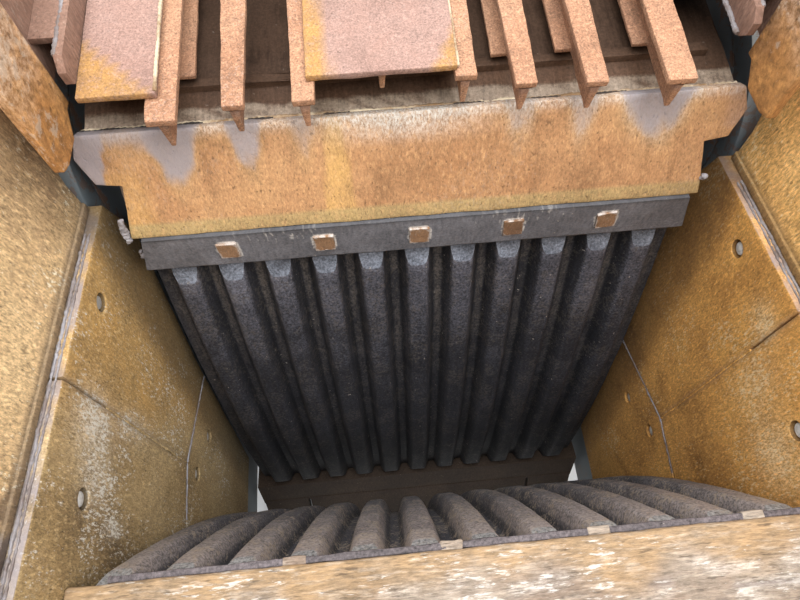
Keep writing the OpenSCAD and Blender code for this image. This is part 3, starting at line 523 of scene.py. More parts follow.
def sliced(bm, step, axis):
    """Cuts the mesh by planes across an axis. The step is in millimetres."""
    axis = Vector(axis).normalized()
    heights = [v.co.dot(axis) for v in bm.verts]
    low, high = min(heights), max(heights)
    count = int((high - low) * 1000 / step)
    for i in range(1, count + 1):
        where = low + (high - low) * i / (count + 1)
        geometry = bm.verts[:] + bm.edges[:] + bm.faces[:]
        bmesh.ops.bisect_plane(bm, geom=geometry, dist=1e-6, plane_co=axis * where, plane_no=axis)
    return bm


print("lengths are given in millimetres and angles in degrees")

# %% [markdown]
# ## Dents, painted wear and painted shade
# Stone leaves shallow dents, rubs some places bright and packs others with
# dirt. Some places are also painted dark as shade, and the dies' crests light
# as a highlight. A displace modifier and vertex paint would need strokes by
# hand. Here noise moves each vertex along its normal, and a small function of
# the drawn point says how strongly a mark lies there. The finishes read those
# marks.

# %% Dent and paint
def dented(bm, depth, size, seed=0):
    """Pushes vertices in and out by smooth noise. Depth and size are in millimetres."""
    bm.normal_update()
    shift = Vector((seed * 3.7, seed * 1.9, seed * 5.3))
    moves = []
    for v in bm.verts:
        amount = noise.fractal(v.co * 1000 / size + shift, 0.9, 2.1, 4) * depth / 1000
        moves.append(v.normal * amount)
    for v, move in zip(bm.verts, moves):
        v.co += move
    return bm


def smooth(value, low, high):
    """Nought below low, one above high, and a soft step between."""
    part = min(1.0, max(0.0, (value - low) / (high - low)))
    return part * part * (3 - 2 * part)


def paint(bm, name, amount):
    """Writes amount(x, y, z), from 0 to 1, on every vertex under a name that finishes read."""
    layer = bm.verts.layers.float.new(name)
    for v in bm.verts:
        v[layer] = min(1.0, max(0.0, amount(*drawn(v.co))))


print("half way up a soft step:", smooth(5, 0, 10))

# %% [markdown]
# ## Handing a piece over
# Each finished mesh becomes an object at the origin. It is shaded smooth, but
# edges that turn sharply stay sharp. An Edge Split modifier would cut the mesh
# open there, so the edges are only marked. The piece then rides on its body,
# takes its materials, and hides the solid it stands for.

# %% Piece
CREASE, CORNER_TURN = 32.0, 15.0


def piece(name, bm, material, body, stands_for=()):
    """Makes an object of the mesh, puts it on its body and hides the solids it stands for."""
    bm.normal_update()
    for face in bm.faces:
        face.smooth = True
    for edge in bm.edges:
        edge.smooth = edge.is_manifold and edge.calc_face_angle(0) < radians(CREASE)
    mesh = bpy.data.meshes.new(name)
    bm.to_mesh(mesh)
    bm.free()
    for one in material if isinstance(material, (list, tuple)) else [material]:
        mesh.materials.append(one)
    made = bpy.data.objects.new(name, mesh)
    bpy.context.collection.objects.link(made)
    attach(made, body)
    if stands_for:
        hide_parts(*([stands_for] if isinstance(stands_for, str) else stands_for))
    print(f"{name}: {len(mesh.polygons)} faces")


def edge_marks(bm):
    """Paints 'edge' where a sharp edge is near: one on it, nought a ring away."""
    layer = bm.verts.layers.float.new("edge")
    for e in bm.edges:
        if len(e.link_faces) == 2 and e.calc_face_angle(0) > radians(CORNER_TURN):
            for v in e.verts:
                v[layer] = 1.0
    return bm

# %% [markdown]
# ## Plates, castings and wheels in paint
# The painted structure only needs its edges broken, so one loop treats it
# all. Each width is what a grinder or a casting leaves. A bevel in the shader
# would be lighter, but it wouldn't show in the outline or in the mesh.

# %% The painted structure
PAINTED = {
    "side_plate_left": (PAINT, 4), "side_plate_right": (PAINT, 4), "front_wall": (PAINT, 3),
    "rear_beam": (PAINT, 3), "feet": (PAINT, 3), "grizzly_beam": (PAINT, 4),
    "bearing_housing_left": (WHEEL, 4), "bearing_housing_right": (WHEEL, 4),
    "flywheel": (WHEEL, 4), "tension_housing": (PAINT, 2),
}
for node, (material, width) in PAINTED.items():
    bm = rounded(copied(node), width)
    for axis in (X, Y, Z):
        sliced(bm, 90, axis)
    piece(node + "_cast", edge_marks(bm), material, "frame", node)

# %% [markdown]
# ## Weld beads
# A weld bead is a row of overlapping puddles. A bevelled curve would be a
# smooth pipe, and a bead is never smooth. Rings of uneven size follow the joint
# and are bridged instead, so that the bead ripples like the real one.

# %% Bead
def bead(bm, path, radius=6.0, step=4.5, seed=0.0):
    """Lays a weld bead along drawn points. Sizes are in millimetres."""
    spots = []
    for first, last in zip(path, path[1:]):
        first, last = at(*first), at(*last)
        count = max(2, int((last - first).length * 1000 / step))
        spots += [first.lerp(last, i / count) for i in range(count)]
    spots.append(at(*path[-1]))
    ring = None
    for i, spot in enumerate(spots):
        way = spots[min(i + 1, len(spots) - 1)] - spots[max(i - 1, 0)]
        turn = way.to_track_quat("Z", "Y").to_matrix().to_4x4()
        stray = noise.noise_vector(spot * 45 + Vector((seed, 0, 0))) * radius * 0.3 / 1000
        size = radius * (0.82 + 0.12 * (i % 3) + 0.3 * noise.noise(spot * 70)) / 1000
        made = bmesh.ops.create_circle(bm, cap_ends=i in (0, len(spots) - 1), segments=8, radius=size,
                                       matrix=Matrix.Translation(spot + stray) @ turn)
        edges = list({e for v in made["verts"] for e in v.link_edges})
        if ring:
            bmesh.ops.bridge_loops(bm, edges=ring + edges)
        ring = edges


print("a bead lies along its drawn points")

# %% [markdown]
# ## Fasteners
# A fastener is a washer, a six-sided head with broken edges, and for a nut the
# end of its stud. Threads wouldn't show at this distance. All three are prisms
# standing on one another, so one function makes them, in proportion to the
# width across the head's flats.

# %% Prism and fastener
def turned_solid(bm, place, axis, radius, height, sides=24, lift=0.0, broken=0.0):
    """A short prism or disc on a face, with its edges broken. Sizes are in millimetres."""
    axis = Vector(axis).normalized()
    turn = axis.to_track_quat("Z", "Y").to_matrix().to_4x4()
    where = Matrix.Translation(place + axis * (lift + height / 2) / 1000) @ turn
    made = bmesh.ops.create_cone(bm, cap_ends=True, segments=sides, radius1=radius / 1000,
                                 radius2=radius / 1000, depth=height / 1000, matrix=where)
    if broken:
        edges = [e for e in {e for v in made["verts"] for e in v.link_edges} if e.calc_face_angle(0) > 0.9]
        bmesh.ops.bevel(bm, geom=edges, offset=broken / 1000, segments=2, profile=0.5, affect="EDGES",
                        clamp_overlap=True, material=-1)


def fastener(bm, place, axis, flats=30.0, stud=0.0):
    """A washer, a six-sided head and, for a nut, the end of its stud."""
    turned_solid(bm, place, axis, flats * 0.92, flats * 0.13, 24, 0, flats * 0.03)
    turned_solid(bm, place, axis, flats * 0.577, flats * 0.62, 6, flats * 0.13, flats * 0.05)
    if stud:
        turned_solid(bm, place, axis, flats * 0.32, stud, 16, flats * 0.7, flats * 0.04)


print("a fastener stands on a face and points along an axis")

# %% [markdown]
# ## The frame's welds
# The frame is a weldment: ribs stand on plates, and every inner corner carries
# a fillet. Their paths could be listed by hand, but the solids already know
# them: an inner corner is an edge that isn't convex. So the beads lie wherever
# two plates meet, and they take the same paint.

# %% Fillets of the frame
def corner_beads(nodes, radius=6.0, step=13.0, least=75.0, inside=0.0):
    """Beads along the solids' inner corners, on edges longer than least and farther out than inside."""
    beads = bmesh.new()
    for node in nodes:
        shape = copied(node)
        shape.normal_update()
        for e in shape.edges:
            hidden = min(abs(v.co.x) for v in e.verts) * 1000 < inside or e.calc_length() * 1000 < least
            if e.is_manifold and not e.is_convex and not hidden and e.calc_face_angle(0) > 0.9:
                one = bmesh.new()
                bead(one, [drawn(v.co) for v in e.verts], radius, step, e.index)
                mesh = bpy.data.meshes.new("one_bead")
                one.to_mesh(mesh)
                one.free()
                beads.from_mesh(mesh)
                bpy.data.meshes.remove(mesh)
        shape.free()
    return beads


for group, nodes in {"side": ("side_plate_left", "side_plate_right"), "front": ("front_wall",),
                     "rear": ("rear_beam", "feet")}.items():
    piece(f"{group}_fillets", corner_beads(nodes), PAINT, "frame")

# %% [markdown]
# ## The crests of a jaw die
# The two jaw dies are cast with parallel ridges, and the ridges of one face the
# valleys of the other, so that stone is bent as well as squeezed. The casting
# and its wear both need to know where the crests lie. So the pitch comes first,
# and one function measures how far a point is from the nearest crest.

# %% Ridges and their crests
PITCH, RIDGE, FLANK, SHOULDER = 92.0, 38.0, 0.41, 8
THICK, END_CUT, END_RUN = 85.0, 16.0, 44.0


def from_crest(x, count):
    """How far x lies from the nearest crest, as a part of the pitch."""
    place = x / PITCH + (0.5 if count % 2 == 0 else 0.0)
    return abs(place - round(place))


print(f"a ridge every {PITCH} mm, {RIDGE} mm high")

# %% [markdown]
# ## Casting a jaw die
# A die is crowned lengthwise, so its face is a profile of ridges turned about a
# far axis. Extruding the ridges straight and bending them would stretch their
# ends. Instead a closed line of points is spun through a small arc, and planes
# then trim it: flat at the back, square at the ends, and on a slope where the
# ends of the ridges are dressed. The slope leaves a pale half-round patch on
# every ridge.

# %% A ridged die
PER_RIDGE, SPIN_STEPS = 20, 60
SPARE_BACK, SPARE_ARC, SPARE_FACE = 90, 0.02, 2


def ridged_die(foot, head, crown, width, count):
    """The mesh of a die from one end of its face to the other, material 1 on its dressed slopes."""
    foot, head = Vector(foot), Vector(head)
    chord = (head - foot).length
    reach = chord * chord / (8 * crown) + crown / 2
    start = atan2(reach - crown, chord / 2) - SPARE_ARC
    ahead = (head - foot) / chord
    up = Vector((-ahead.y, ahead.x))

    def spot(x, u, v):
        return at(x, *(foot + ahead * u + up * v))

    def on_arc(x, radius):
        return spot(x, chord / 2 + radius * cos(start), crown - reach + radius * sin(start))

    half = count * PITCH / 2
    marks = [-half + PITCH * i / PER_RIDGE for i in range(count * PER_RIDGE + 1)]
    back = reach - THICK - SPARE_BACK
    line = [on_arc(width / 2, back), on_arc(-width / 2, back)]
    for x in [-width / 2] + marks + [width / 2]:
        part = min(1.0, from_crest(x, count) / FLANK) if abs(x) <= half else 1.0
        line.append(on_arc(x, reach - RIDGE * sin(pi / 2 * part) ** SHOULDER))
    bm = bmesh.new()
    verts = [bm.verts.new(point) for point in line]
    edges = [bm.edges.new(pair) for pair in zip(verts, verts[1:] + verts[:1])]
    bmesh.ops.spin(bm, geom=verts + edges, cent=spot(0, chord / 2, crown - reach), axis=X,
                   angle=pi - 2 * start, steps=SPIN_STEPS)
    rise = crown + SPARE_FACE + END_CUT
    run = rise * END_RUN / (END_CUT + 4 * crown * END_RUN / chord)
    cuts = [((0, 0), (-1, 0), 0), ((chord, 0), (1, 0), 0), ((0, -THICK), (0, -1), 0),
            ((0, -END_CUT), (-rise, run), 1), ((chord, -END_CUT), (rise, run), 1)]
    for k, (point, normal, slot) in enumerate(cuts):
        out = at(0, *(ahead * normal[0] + up * normal[1])) - at(0, 0, 0)
        bmesh.ops.bisect_plane(bm, geom=bm.verts[:] + bm.edges[:] + bm.faces[:], dist=1e-6,
                               plane_co=spot(0, *point), plane_no=out.normalized(), clear_outer=True)
        if k:
            rims = [e for e in bm.edges if e.is_boundary]
            for face in bmesh.ops.holes_fill(bm, edges=rims, sides=0)["faces"]:
                face.material_index = slot
    bmesh.ops.remove_doubles(bm, verts=bm.verts, dist=0.00002)
    bmesh.ops.recalc_face_normals(bm, faces=bm.faces)
    return bm


print("five planes trim a die")

# %% [markdown]
# ## Wear on a die
# The stone polishes the crests, most of all near the dressed top, and the same
# mark paints them lighter as a highlight. Fines settle on the floors of the
# valleys. The steep flanks between are painted dark as shade, and the die grows
# darker deep down. All three follow from the distance to the crest, so no mark
# is placed by hand.

# %% Wear on the ridges
def ridge_marks(bm, count, low, high, crest, seed):
    """Paints polished crests that are also painted lighter as a highlight, dusty valley floors, and painted
    shade on the flanks and deep down. Low and high say where the crest marks fade in.
    """
    # Crest polish, which also paints the crests lighter as a highlight.
    def worn(x, y, z):
        fade = min(1.0, max(0.0, (z - low) / (high - low)))
        by_end = smooth(z, -118, -62)
        on_crest = 1 - smooth(from_crest(x, count), crest, crest + 0.09)
        return on_crest * (0.15 + 0.45 * fade * fade + 0.5 * by_end)

    def dusty(x, y, z):
        return smooth(from_crest(x, count), 0.39, 0.45) * (0.15 + 0.85 * smooth(z, -620, -60))

    # Painted shade on the steep flanks and deep down.
    def shaded(x, y, z):
        flank = 0.8 * exp(-((from_crest(x, count) - 0.37) / 0.04) ** 2)
        return max(flank, 0.7 * smooth(low - z, -150, 450))

    paint(bm, "polish", worn)
    paint(bm, "dust", dusty)
    paint(bm, "grime", shaded)
    dented(bm, 0.9, 55, seed)


print("on a crest", from_crest(0, 11), "and in a valley", from_crest(PITCH / 2, 11))

# %% [markdown]
# ## Both jaw dies
# The swing die has eleven ridges and the fixed die twelve, so that ridge faces
# valley. Each is given by the two ends of its face on the drawing, the height
# of its crown, its width and its number of ridges.

# %% The swing die and the fixed die
SWING_FACE, FIXED_FACE = ((306, -1152), (545, -65)), ((0, 0), (210, -1150))

bm = ridged_die(*SWING_FACE, crown=32, width=1048, count=11)
ridge_marks(bm, 11, -760, -60, 0.22, 1)
piece("swing_jaw_die_cast", bm, [SWING, DRESSED], "swing_jaw", "swing_jaw_die")
bm = ridged_die(*FIXED_FACE, crown=42, width=1108, count=12)
ridge_marks(bm, 12, -900, -200, 0.30, 2)
piece("fixed_jaw_die_cast", bm, [FIXED, FIXED_END], "frame", "fixed_jaw_die")

# %% [markdown]
# ## Where the stones rub the guard plate
# The plate that shields the swing jaw's head carries the whole story of the
# feed. Stones slip off the bars and polish a tapering patch under each tip. The
# patches could be drawn on a texture, but then they would not follow the bars
# if the deck was changed. So each is a middle, a half width, a reach down the
# plate and a strength.

# %% Patches under the bars
GUARD_FOOT = Vector((533.0, 64.0))
GUARD_RISE = Vector((89.0, 166.0)).normalized()
GUARD_OUT = Vector((-GUARD_RISE.y, GUARD_RISE.x))
GUARD_L = 188.0
PATCHES = [(-392, 46, 98, 0.95), (-452, 80, 34, 0.7), (-274, 30, 80, 0.8), (-184, 26, 64, 0.55),
           (168, 28, 62, 0.5), (272, 26, 66, 0.55), (394, 66, 74, 0.85), (-330, 200, 10, 0.5)]


def up_guard(y, z):
    """How far a point lies up the guard plate from its lower edge."""
    return (Vector((y, z)) - GUARD_FOOT).dot(GUARD_RISE)


def under_tips(x, y, z, edge):
    """How strongly the stones off the nearest bar have rubbed here, with a soft edge in millimetres."""
    down = GUARD_L - up_guard(y, z) + 24 * noise.noise(Vector((x / 18, y / 40, z / 40)))
    return max(strength * smooth(reach * (1 - abs((x - middle) / half) ** 2) - down, -edge, edge)
               for middle, half, reach, strength in PATCHES)


print("patches:", len(PATCHES))

# %% [markdown]
# ## The guard plate's marks
# Beside the patches, the ends are rubbed to a violet grey, one streak glows
# yellow where water ran, pale scale hangs under the top edge, and the lower lip
# keeps its olive dust. Each mark is a short function of the drawn point, which
# is easier to move than a stroke of a brush.

# %% Marks on the guard plate
def guard_polish(x, y, z):
    """Patches under the bars, and both rubbed ends."""
    down = GUARD_L - up_guard(y, z)
    left = smooth(-x - 488 - 0.25 * down, 0, 8) * smooth(-down, -94, -88)
    right = 0.5 * smooth(x, 470, 530) * smooth(-down, -94, -60)
    return max(under_tips(x, y, z, 36), left, right)


def guard_chalk(x, y, z):
    """Scale under the top edge, thickest near the middle, and in the patches on the right."""
    middle = 0.8 * exp(-((x + 20) / 110) ** 2) * smooth(up_guard(y, z), 128, 176)
    edge = 0.5 * smooth(up_guard(y, z), 168, 184)
    return middle + edge + (0.5 * under_tips(x, y, z, 36) if x > 0 else 0.0)


def guard_glow(x, y, z):
    """The yellow streak that widens downwards, and the lower left corner."""
    streak = 0.6 * smooth(16 + 0.09 * (GUARD_L - up_guard(y, z)) - abs(x + 134), 0, 8)
    return streak + 0.4 * smooth(-x, 430, 470) * smooth(-up_guard(y, z), -150, -90)


def guard_olive(x, y, z):
    """The dusty lip, and a rim round every patch."""
    return max(0.85 * smooth(-up_guard(y, z), -27, -24), 0.6 * under_tips(x, y, z, 60))


print("polish at the left end:", round(guard_polish(-530, 600, 190), 2))

# %% [markdown]
# ## The guard plate
# The plate is flat but for its lower lip, which years of stone have hammered
# back. A bend modifier would turn the whole plate, so only the vertices below
# the lip's line are pushed back, the more the lower they lie.

# %% Guard plate
LIP_HEIGHT, LIP_SLOPE = 26, 0.10

bm = rounded(copied("guard_plate"), 2.5)
sliced(bm, 8, X)
sliced(bm, 8, (0, GUARD_RISE.x, GUARD_RISE.y))
for v in bm.verts:
    depth = LIP_HEIGHT - up_guard(*drawn(v.co)[1:])
    if depth > 0:
        v.co -= Vector((0, GUARD_OUT.x, GUARD_OUT.y)) * depth * LIP_SLOPE / 1000
dented(bm, 1.3, 80, 3)
for mark, amount in {"polish": guard_polish, "chalk": guard_chalk, "glow": guard_glow,
                     "olive": guard_olive}.items():
    paint(bm, mark, amount)
piece("guard_plate_worn", bm, GUARD, "swing_jaw", "guard_plate")

# %% [markdown]
# ## The guard plate's welds
# A crusted bead runs along the plate's top, where it meets the cover behind.
# The joint has opened in short stretches, and thin black beads in them stand
# for the shade in the gaps. Two lumps of weld hang at the left end and one at
# the right. They are beads too, and a strong dent makes them knobbly.

# %% Guard plate's welds
OPEN_STRETCHES = [(-530, -420), (-380, -338), (-267, -227), (-147, -105), (62, 112), (178, 237), (295, 345)]
LUMPS = [([(-505, 546, 106), (-508, 543, 84), (-510, 540, 68), (-511, 536, 54)], 6.0, 2),
         ([(-512, 548, 6), (-513, 547, -16)], 4.5, 5), ([(503, 546, 104), (501, 549, 92)], 5.0, 6)]

bm = bmesh.new()
bead(bm, [(-530, 641, 216), (530, 641, 216)], 5.0, 3.5)
piece("guard_weld", bm, CRUST, "swing_jaw", ())
bm = bmesh.new()
# Black beads as painted shade in the opened gaps.
for first, last in OPEN_STRETCHES:
    bead(bm, [(first, 638, 219), (last, 638, 219)], 3.4, 3.0, first)
piece("guard_joint_shade", bm, GAP_SHADE, "swing_jaw", ())
bm = bmesh.new()
for path, radius, seed in LUMPS:
    bead(bm, path, radius, 2.5, seed)
dented(bm, 3.0, 7, 4)
piece("guard_lumps", bm, WELD, "swing_jaw", ())

# %% [markdown]
# ## Where the wedge bolts stand
# The wedge bar clamps the swing die's top with five square-headed bolts. Each
# head was drawn up with a spanner, so it stands at its own angle, and wear has
# left it narrower than it is high. Modelling new bolts would lose the fit to
# their pockets. So one function narrows and turns the bolts and the pockets
# alike, and a second one tells how near a point is to the nearest head.

# %% Bolt heads and their angles
BOLT_TURNS = {-348: 0, -174: 0, 0: 0, 174: radians(4), 348: radians(9)}
BOLT_Z, BOLT_HALF, BOLT_REACH = 13, 22.5, 24
NARROW = 0.8


def nearest_bolt(x):
    """The middle of the nearest bolt and the angle that its head was left at."""
    return min(BOLT_TURNS.items(), key=lambda bolt: abs(x - bolt[0]))


def narrowed(bm):
    """Draws each bolt and its pocket in sideways, as the heads are worn, and turns them to their angle."""
    for v in bm.verts:
        x, y, z = drawn(v.co)
        middle, turn = nearest_bolt(x)
        aside, up = (x - middle) * NARROW, z - BOLT_Z
        if abs(x - middle) < BOLT_REACH and abs(up) < BOLT_REACH:
            v.co = at(middle + aside * cos(turn) - up * sin(turn), y,
                      BOLT_Z + aside * sin(turn) + up * cos(turn))
    return bm


def from_bolt(x, z):
    """How far out of the nearest bolt's rounded square a point lies: one on its edge."""
    middle, turn = nearest_bolt(x)
    aside, up = x - middle, z - BOLT_Z
    across_head = (aside * cos(turn) + up * sin(turn)) / (BOLT_HALF * NARROW)
    return (across_head ** 4 + ((up * cos(turn) - aside * sin(turn)) / BOLT_HALF) ** 4) ** 0.25


print("bolts at", list(BOLT_TURNS))

# %% [markdown]
# ## The wedge bar
# A spanner has scratched a bright rim round every pocket, and lime has run down
# from the joint above in thin white streaks. Both are painted marks, so the bar
# is sliced finely across, fine enough to carry a streak of a few millimetres.

# %% Wedge bar
DRIP_MIDDLES = (-235, 190)
BAR_BACK = 540


def near_pocket(x, z):
    """One on the rim of a bolt's pocket, fading over a few millimetres."""
    worn = 2.2 + 3.5 * noise.noise(Vector((x / 9, z / 9, 0.4)))
    return 1 - smooth(abs(from_bolt(x, z) - 1.06) * 20, worn, worn + 2)


def drips(x, z):
    """Lime in thin streaks below the joint, thickest beside the second and the fourth bolt."""
    streak = noise.noise(Vector((x / 5.0, 3.1, z / 24.0)))
    crowd = max(exp(-((x - middle) / 95) ** 2) for middle in DRIP_MIDDLES)
    return (0.3 + 0.4 * crowd) * smooth(streak + 0.4 * crowd, 0.36, 0.72) * smooth(z, -6, 50)


bm = rounded(narrowed(copied("wedge_bar")), 4, 3)
sliced(bm, 3.5, X)
sliced(bm, 6, Z)
dented(bm, 0.8, 50, 8)
paint(bm, "polish", lambda x, y, z: max(near_pocket(x, z) * 0.9 if y < BAR_BACK else 0, drips(x, z)))
# Painted shadow along the bar's top, under the guard plate's lower edge.
paint(bm, "grime", lambda x, y, z: 0.85 * smooth(z, 54, 58))
piece("wedge_bar_worn", bm, WEDGE, "swing_jaw", "wedge_bar")

# %% [markdown]
# ## The wedge bolts
# The heads' corners are worn round. One bevel rounds the four edges that run
# into the bar, and a smaller one breaks the rest. Bright metal is left on the
# rim, where the spanner bit, and rust covers the middle.

# %% Wedge bolts
HEAD_CORNER = 0.010

bm = narrowed(copied("wedge_bolts"))
uprights = [e for e in bm.edges if abs((e.verts[0].co - e.verts[1].co).normalized().y) > 0.9]
bmesh.ops.bevel(bm, geom=uprights, offset=HEAD_CORNER, offset_type="OFFSET", segments=4, profile=0.5,
                affect="EDGES", clamp_overlap=True, material=-1)
rounded(bm, 2.5, 3)
sliced(bm, 5, X)
sliced(bm, 5, Z)
paint(bm, "polish", lambda x, y, z: (0.6 + 0.9 * noise.noise(Vector((x / 8, z / 8, 2.2))))
      * smooth(from_bolt(x, z), 0.86, 0.98))
dented(bm, 1.2, 25, 6)
piece("wedge_bolts_worn", bm, BOLT, "swing_jaw", "wedge_bolts")

# %% [markdown]
# ## The swing jaw's body
# The pitman is one large casting. Above it a thin cover keeps dust off the
# barrel, and below it a brown bar carries the die's foot. Only the cover's
# front edge lies in the stones' way: it is rubbed there, and behind it the
# cover is painted near black as shade.

# %% Pitman, cover and seat bar
bm = rounded(copied("toe_bar"), 5, 3)
piece("toe_bar_worn", bm, DARK, "swing_jaw", "toe_bar")
bm = rounded(copied("pitman"), 5, 2, 40)
piece("pitman_cast", bm, PITMAN, "swing_jaw", "pitman")
bm = rounded(copied("pitman_cover"), 3, 2)
sliced(bm, 25, X)
sliced(bm, 12, Y)
dented(bm, 3.0, 120, 9)
paint(bm, "polish", lambda x, y, z: (0.75 + 0.7 * noise.noise(Vector((x / 26, y / 12, 5.1))))
      * smooth(-y, -676, -660))
# Painted shade behind the front edge: the cover is darkened there to near black.
paint(bm, "dust", lambda x, y, z: smooth(y, 680, 720))
piece("pitman_cover_worn", bm, COVER, "swing_jaw", "pitman_cover")

# %% [markdown]
# ## Seams and bolts of the cheek plates
# Three cast wear plates a side are bolted through the frame. Their seams and
# bolts are drawn once in the side plane and used on both sides. Wear, dirt and
# weld all gather along the same lines, so each line is kept as points, and one
# function measures the way to it.

# %% Lines and places on the cheeks
SEAM_TOP, SEAM_FALL = 138, 0.105
CHEEK_BOLTS = [(435, 28), (115, 0), (246, -536), (356, -615)]
LOWER_SEAM = [(498, -546), (257, -457), (134, -476)]
UPPER_SEAM = [(272, 110), (257, -457)]


def seam_z(y):
    """Height of the seam between the cheek plates and the hopper."""
    return SEAM_TOP - SEAM_FALL * y


def by_the_jaw(y, z):
    """One against the swing jaw's face, nought a hand's width in front of it."""
    return smooth(y - 545 - (z + 65) * 0.22, -110, -20)


def in_recess(x, y, z):
    """One on the walls and the floor of a bolt's recess."""
    nearest = min(Vector((y - by, z - bz)).length for by, bz in CHEEK_BOLTS)
    return 1.0 if nearest < 19 and abs(x) > 558.5 else 0.0


def near_line(y, z, line, reach):
    """One on a broken line of the side plane, nought at its reach."""
    least = reach
    for start, end in zip(line, line[1:]):
        start, way, spot = Vector(start), Vector(end) - Vector(start), Vector((y, z))
        part = min(1.0, max(0.0, (spot - start).dot(way) / way.length_squared))
        least = min(least, (spot - start - way * part).length)
    return 1 - least / reach


print("seam over the middle of the mouth:", seam_z(260))

# %% [markdown]
# ## The cheek plates
# The left side is grey and speckled and the right side golden, and the right
# plates are painted brighter as a sunlit side, the left ones duller as a shaded
# one. The top edges, which the hopper doesn't cover, are rubbed to a violet
# grey ledge. Pale dust lies in soft round spots, each given by its middle, two
# radii and a strength, which is all that a spot without an edge needs. The
# bolts' recesses are painted dark as shade, the strip beside the swing jaw is
# darkened by dirt and painted shade, and the plates grow darker deep down.

# %% Cheek plates
LEFT_CHALK = [(232, 5, 50, 62, 1.0), (150, -25, 40, 50, 0.7), (82, -112, 14, 28, 0.8),
              (262, -150, 26, 60, 0.6)]
RIGHT_CHALK = [(296, 24, 34, 30, 0.9), (96, -70, 60, 60, 0.9), (210, -60, 40, 70, 0.4)]


def spot_mark(y, z, marks):
    """The sum of soft round marks, each given by its middle, two radii and strength."""
    return sum(s * exp(-((y - my) / ry) ** 2 - ((z - mz) / rz) ** 2) for my, mz, ry, rz, s in marks)


def cheek_polish(x, y, z):
    """The rubbed ledge on top, and both seams."""
    ledge = 0.8 * smooth(z - seam_z(y), -3.5, -1.0) * (0.8 + 0.8 * noise.noise(Vector((x / 6, y / 30, 1.7))))
    return max(ledge, 0.55 * near_line(y, z, LOWER_SEAM, 26), 0.5 * near_line(y, z, UPPER_SEAM, 22))


def cheek_dirt_and_shade(x, y, z):
    """Darker deep down, painted shade with some dirt beside the swing jaw, painted shade in the recesses, and
    dirt along the upper seam.
    """
    return max(0.45 * smooth(-z, 560, 1000), 0.75 * by_the_jaw(y, z), 0.95 * in_recess(x, y, z),
               0.3 * near_line(y, z, UPPER_SEAM, 14))


for side, finish, marks in (("left", CHEEK_LEFT, LEFT_CHALK), ("right", CHEEK_RIGHT, RIGHT_CHALK)):
    for place in ("rear", "front", "lower"):
        node = f"cheek_{place}_{side}"
        bm = rounded(copied(node), 3, 2)
        sliced(bm, 11, Y)
        sliced(bm, 11, Z)
        dented(bm, 1.0, 110, len(node))
        paint(bm, "chalk", lambda x, y, z: spot_mark(y, z, marks))
        paint(bm, "glow", lambda x, y, z: 0.75 * smooth(y + 0.25 * z, 170, 300) if side == "left" else 0.0)
        paint(bm, "polish", cheek_polish)
        paint(bm, "grime", cheek_dirt_and_shade)
        piece(node + "_worn", bm, finish, "frame", node)

# %% [markdown]
# ## Welds and fines in the cheeks' seams
# Thin beads close the lower seam and the ledge under the hopper. The upright
# seam isn't welded but packed with fines, so its bead takes the colour of the
# plate and only breaks the light.

# %% Cheek seams
SEAM_X = 557.4
FINES = [(557.8, 257, -455), (558.2, 264, -190), (559.2, 268, -40)]

bm = bmesh.new()
for side in (-1, 1):
    bead(bm, [(side * SEAM_X, y, z) for y, z in LOWER_SEAM], 2.2, 2.5, side)
    for x, radius in ((574, 2.6), (567, 1.9)):
        top = [(side * x, y, seam_z(y) + 0.5) for y in range(-300, 560, 60)]
        bead(bm, top, radius, 3.5, side + x)
dented(bm, 1.6, 6, 3)
piece("cheek_welds", bm, WELD, "frame", ())
for side, name, finish in ((-1, "left", CHEEK_LEFT), (1, "right", CHEEK_RIGHT)):
    bm = bmesh.new()
    bead(bm, [(side * x, y, z) for x, y, z in FINES], 2.4, 2.5, side + 8)
    dented(bm, 1.2, 7, 9)
    piece(f"seam_fines_{name}", bm, finish, "frame", ())

# %% [markdown]
# ## The cheek plates' bolts
# In the chamber the round heads lie sunk in their recesses, rubbed silver by
# the stone and painted brighter still as a highlight. Outside, a nut holds each
# bolt on the side plate. The places are those of the recesses, so head, recess
# and nut share one axis.

# %% Cheek bolts
RECESS_X, OUTSIDE_X = 569, 637

bm = bmesh.new()
for side in (-1, 1):
    for y, z in CHEEK_BOLTS:
        turned_solid(bm, at(side * RECESS_X, y, z), (-side, 0, 0), 12.5, 7, 24, 0, 3.0)
piece("cheek_bolt_heads", bm, SILVER, "frame", ())
bm = bmesh.new()
for side in (-1, 1):
    for y, z in CHEEK_BOLTS:
        fastener(bm, at(side * OUTSIDE_X, y, z), (side, 0, 0), 41, 16)
piece("cheek_bolts", bm, NUT, "frame", ())

# %% [markdown]
# ## The hopper's sides
# Thinner wear plates lean outwards above the seam. The lower front part on the
# left has lost its rust and shows blue grey below a joint. The deflectors close
# the rear corners and are pale with dust near their tops. The ribs outside are
# welded on, and the fillets are found as on the frame.

# %% Hopper sides and deflectors
RIB_SIDE = 592


def scoured(y, z, side):
    """Bare metal: a strip above the seam, and on the left the whole front."""
    front = 0.9 * smooth(-y, -52, -44) if side == "left" else 0.0
    return max(front, 0.42 * smooth(seam_z(y) + 90 - z, 0, 90))


def hopper_dirt_and_shade(y, z, side):
    """Painted shade in the seam, and on the left also dirt in the front joint and painted shade towards the
    deflector.
    """
    seam = 0.8 * smooth(seam_z(y) + 30 - z, 0, 12)
    if side == "right":
        return seam
    joint = 0.8 * smooth(18 - abs(y - 76), 0, 6) * smooth(170 - z, 0, 8)
    return max(seam, joint, 0.4 * smooth(y, 440, 535))


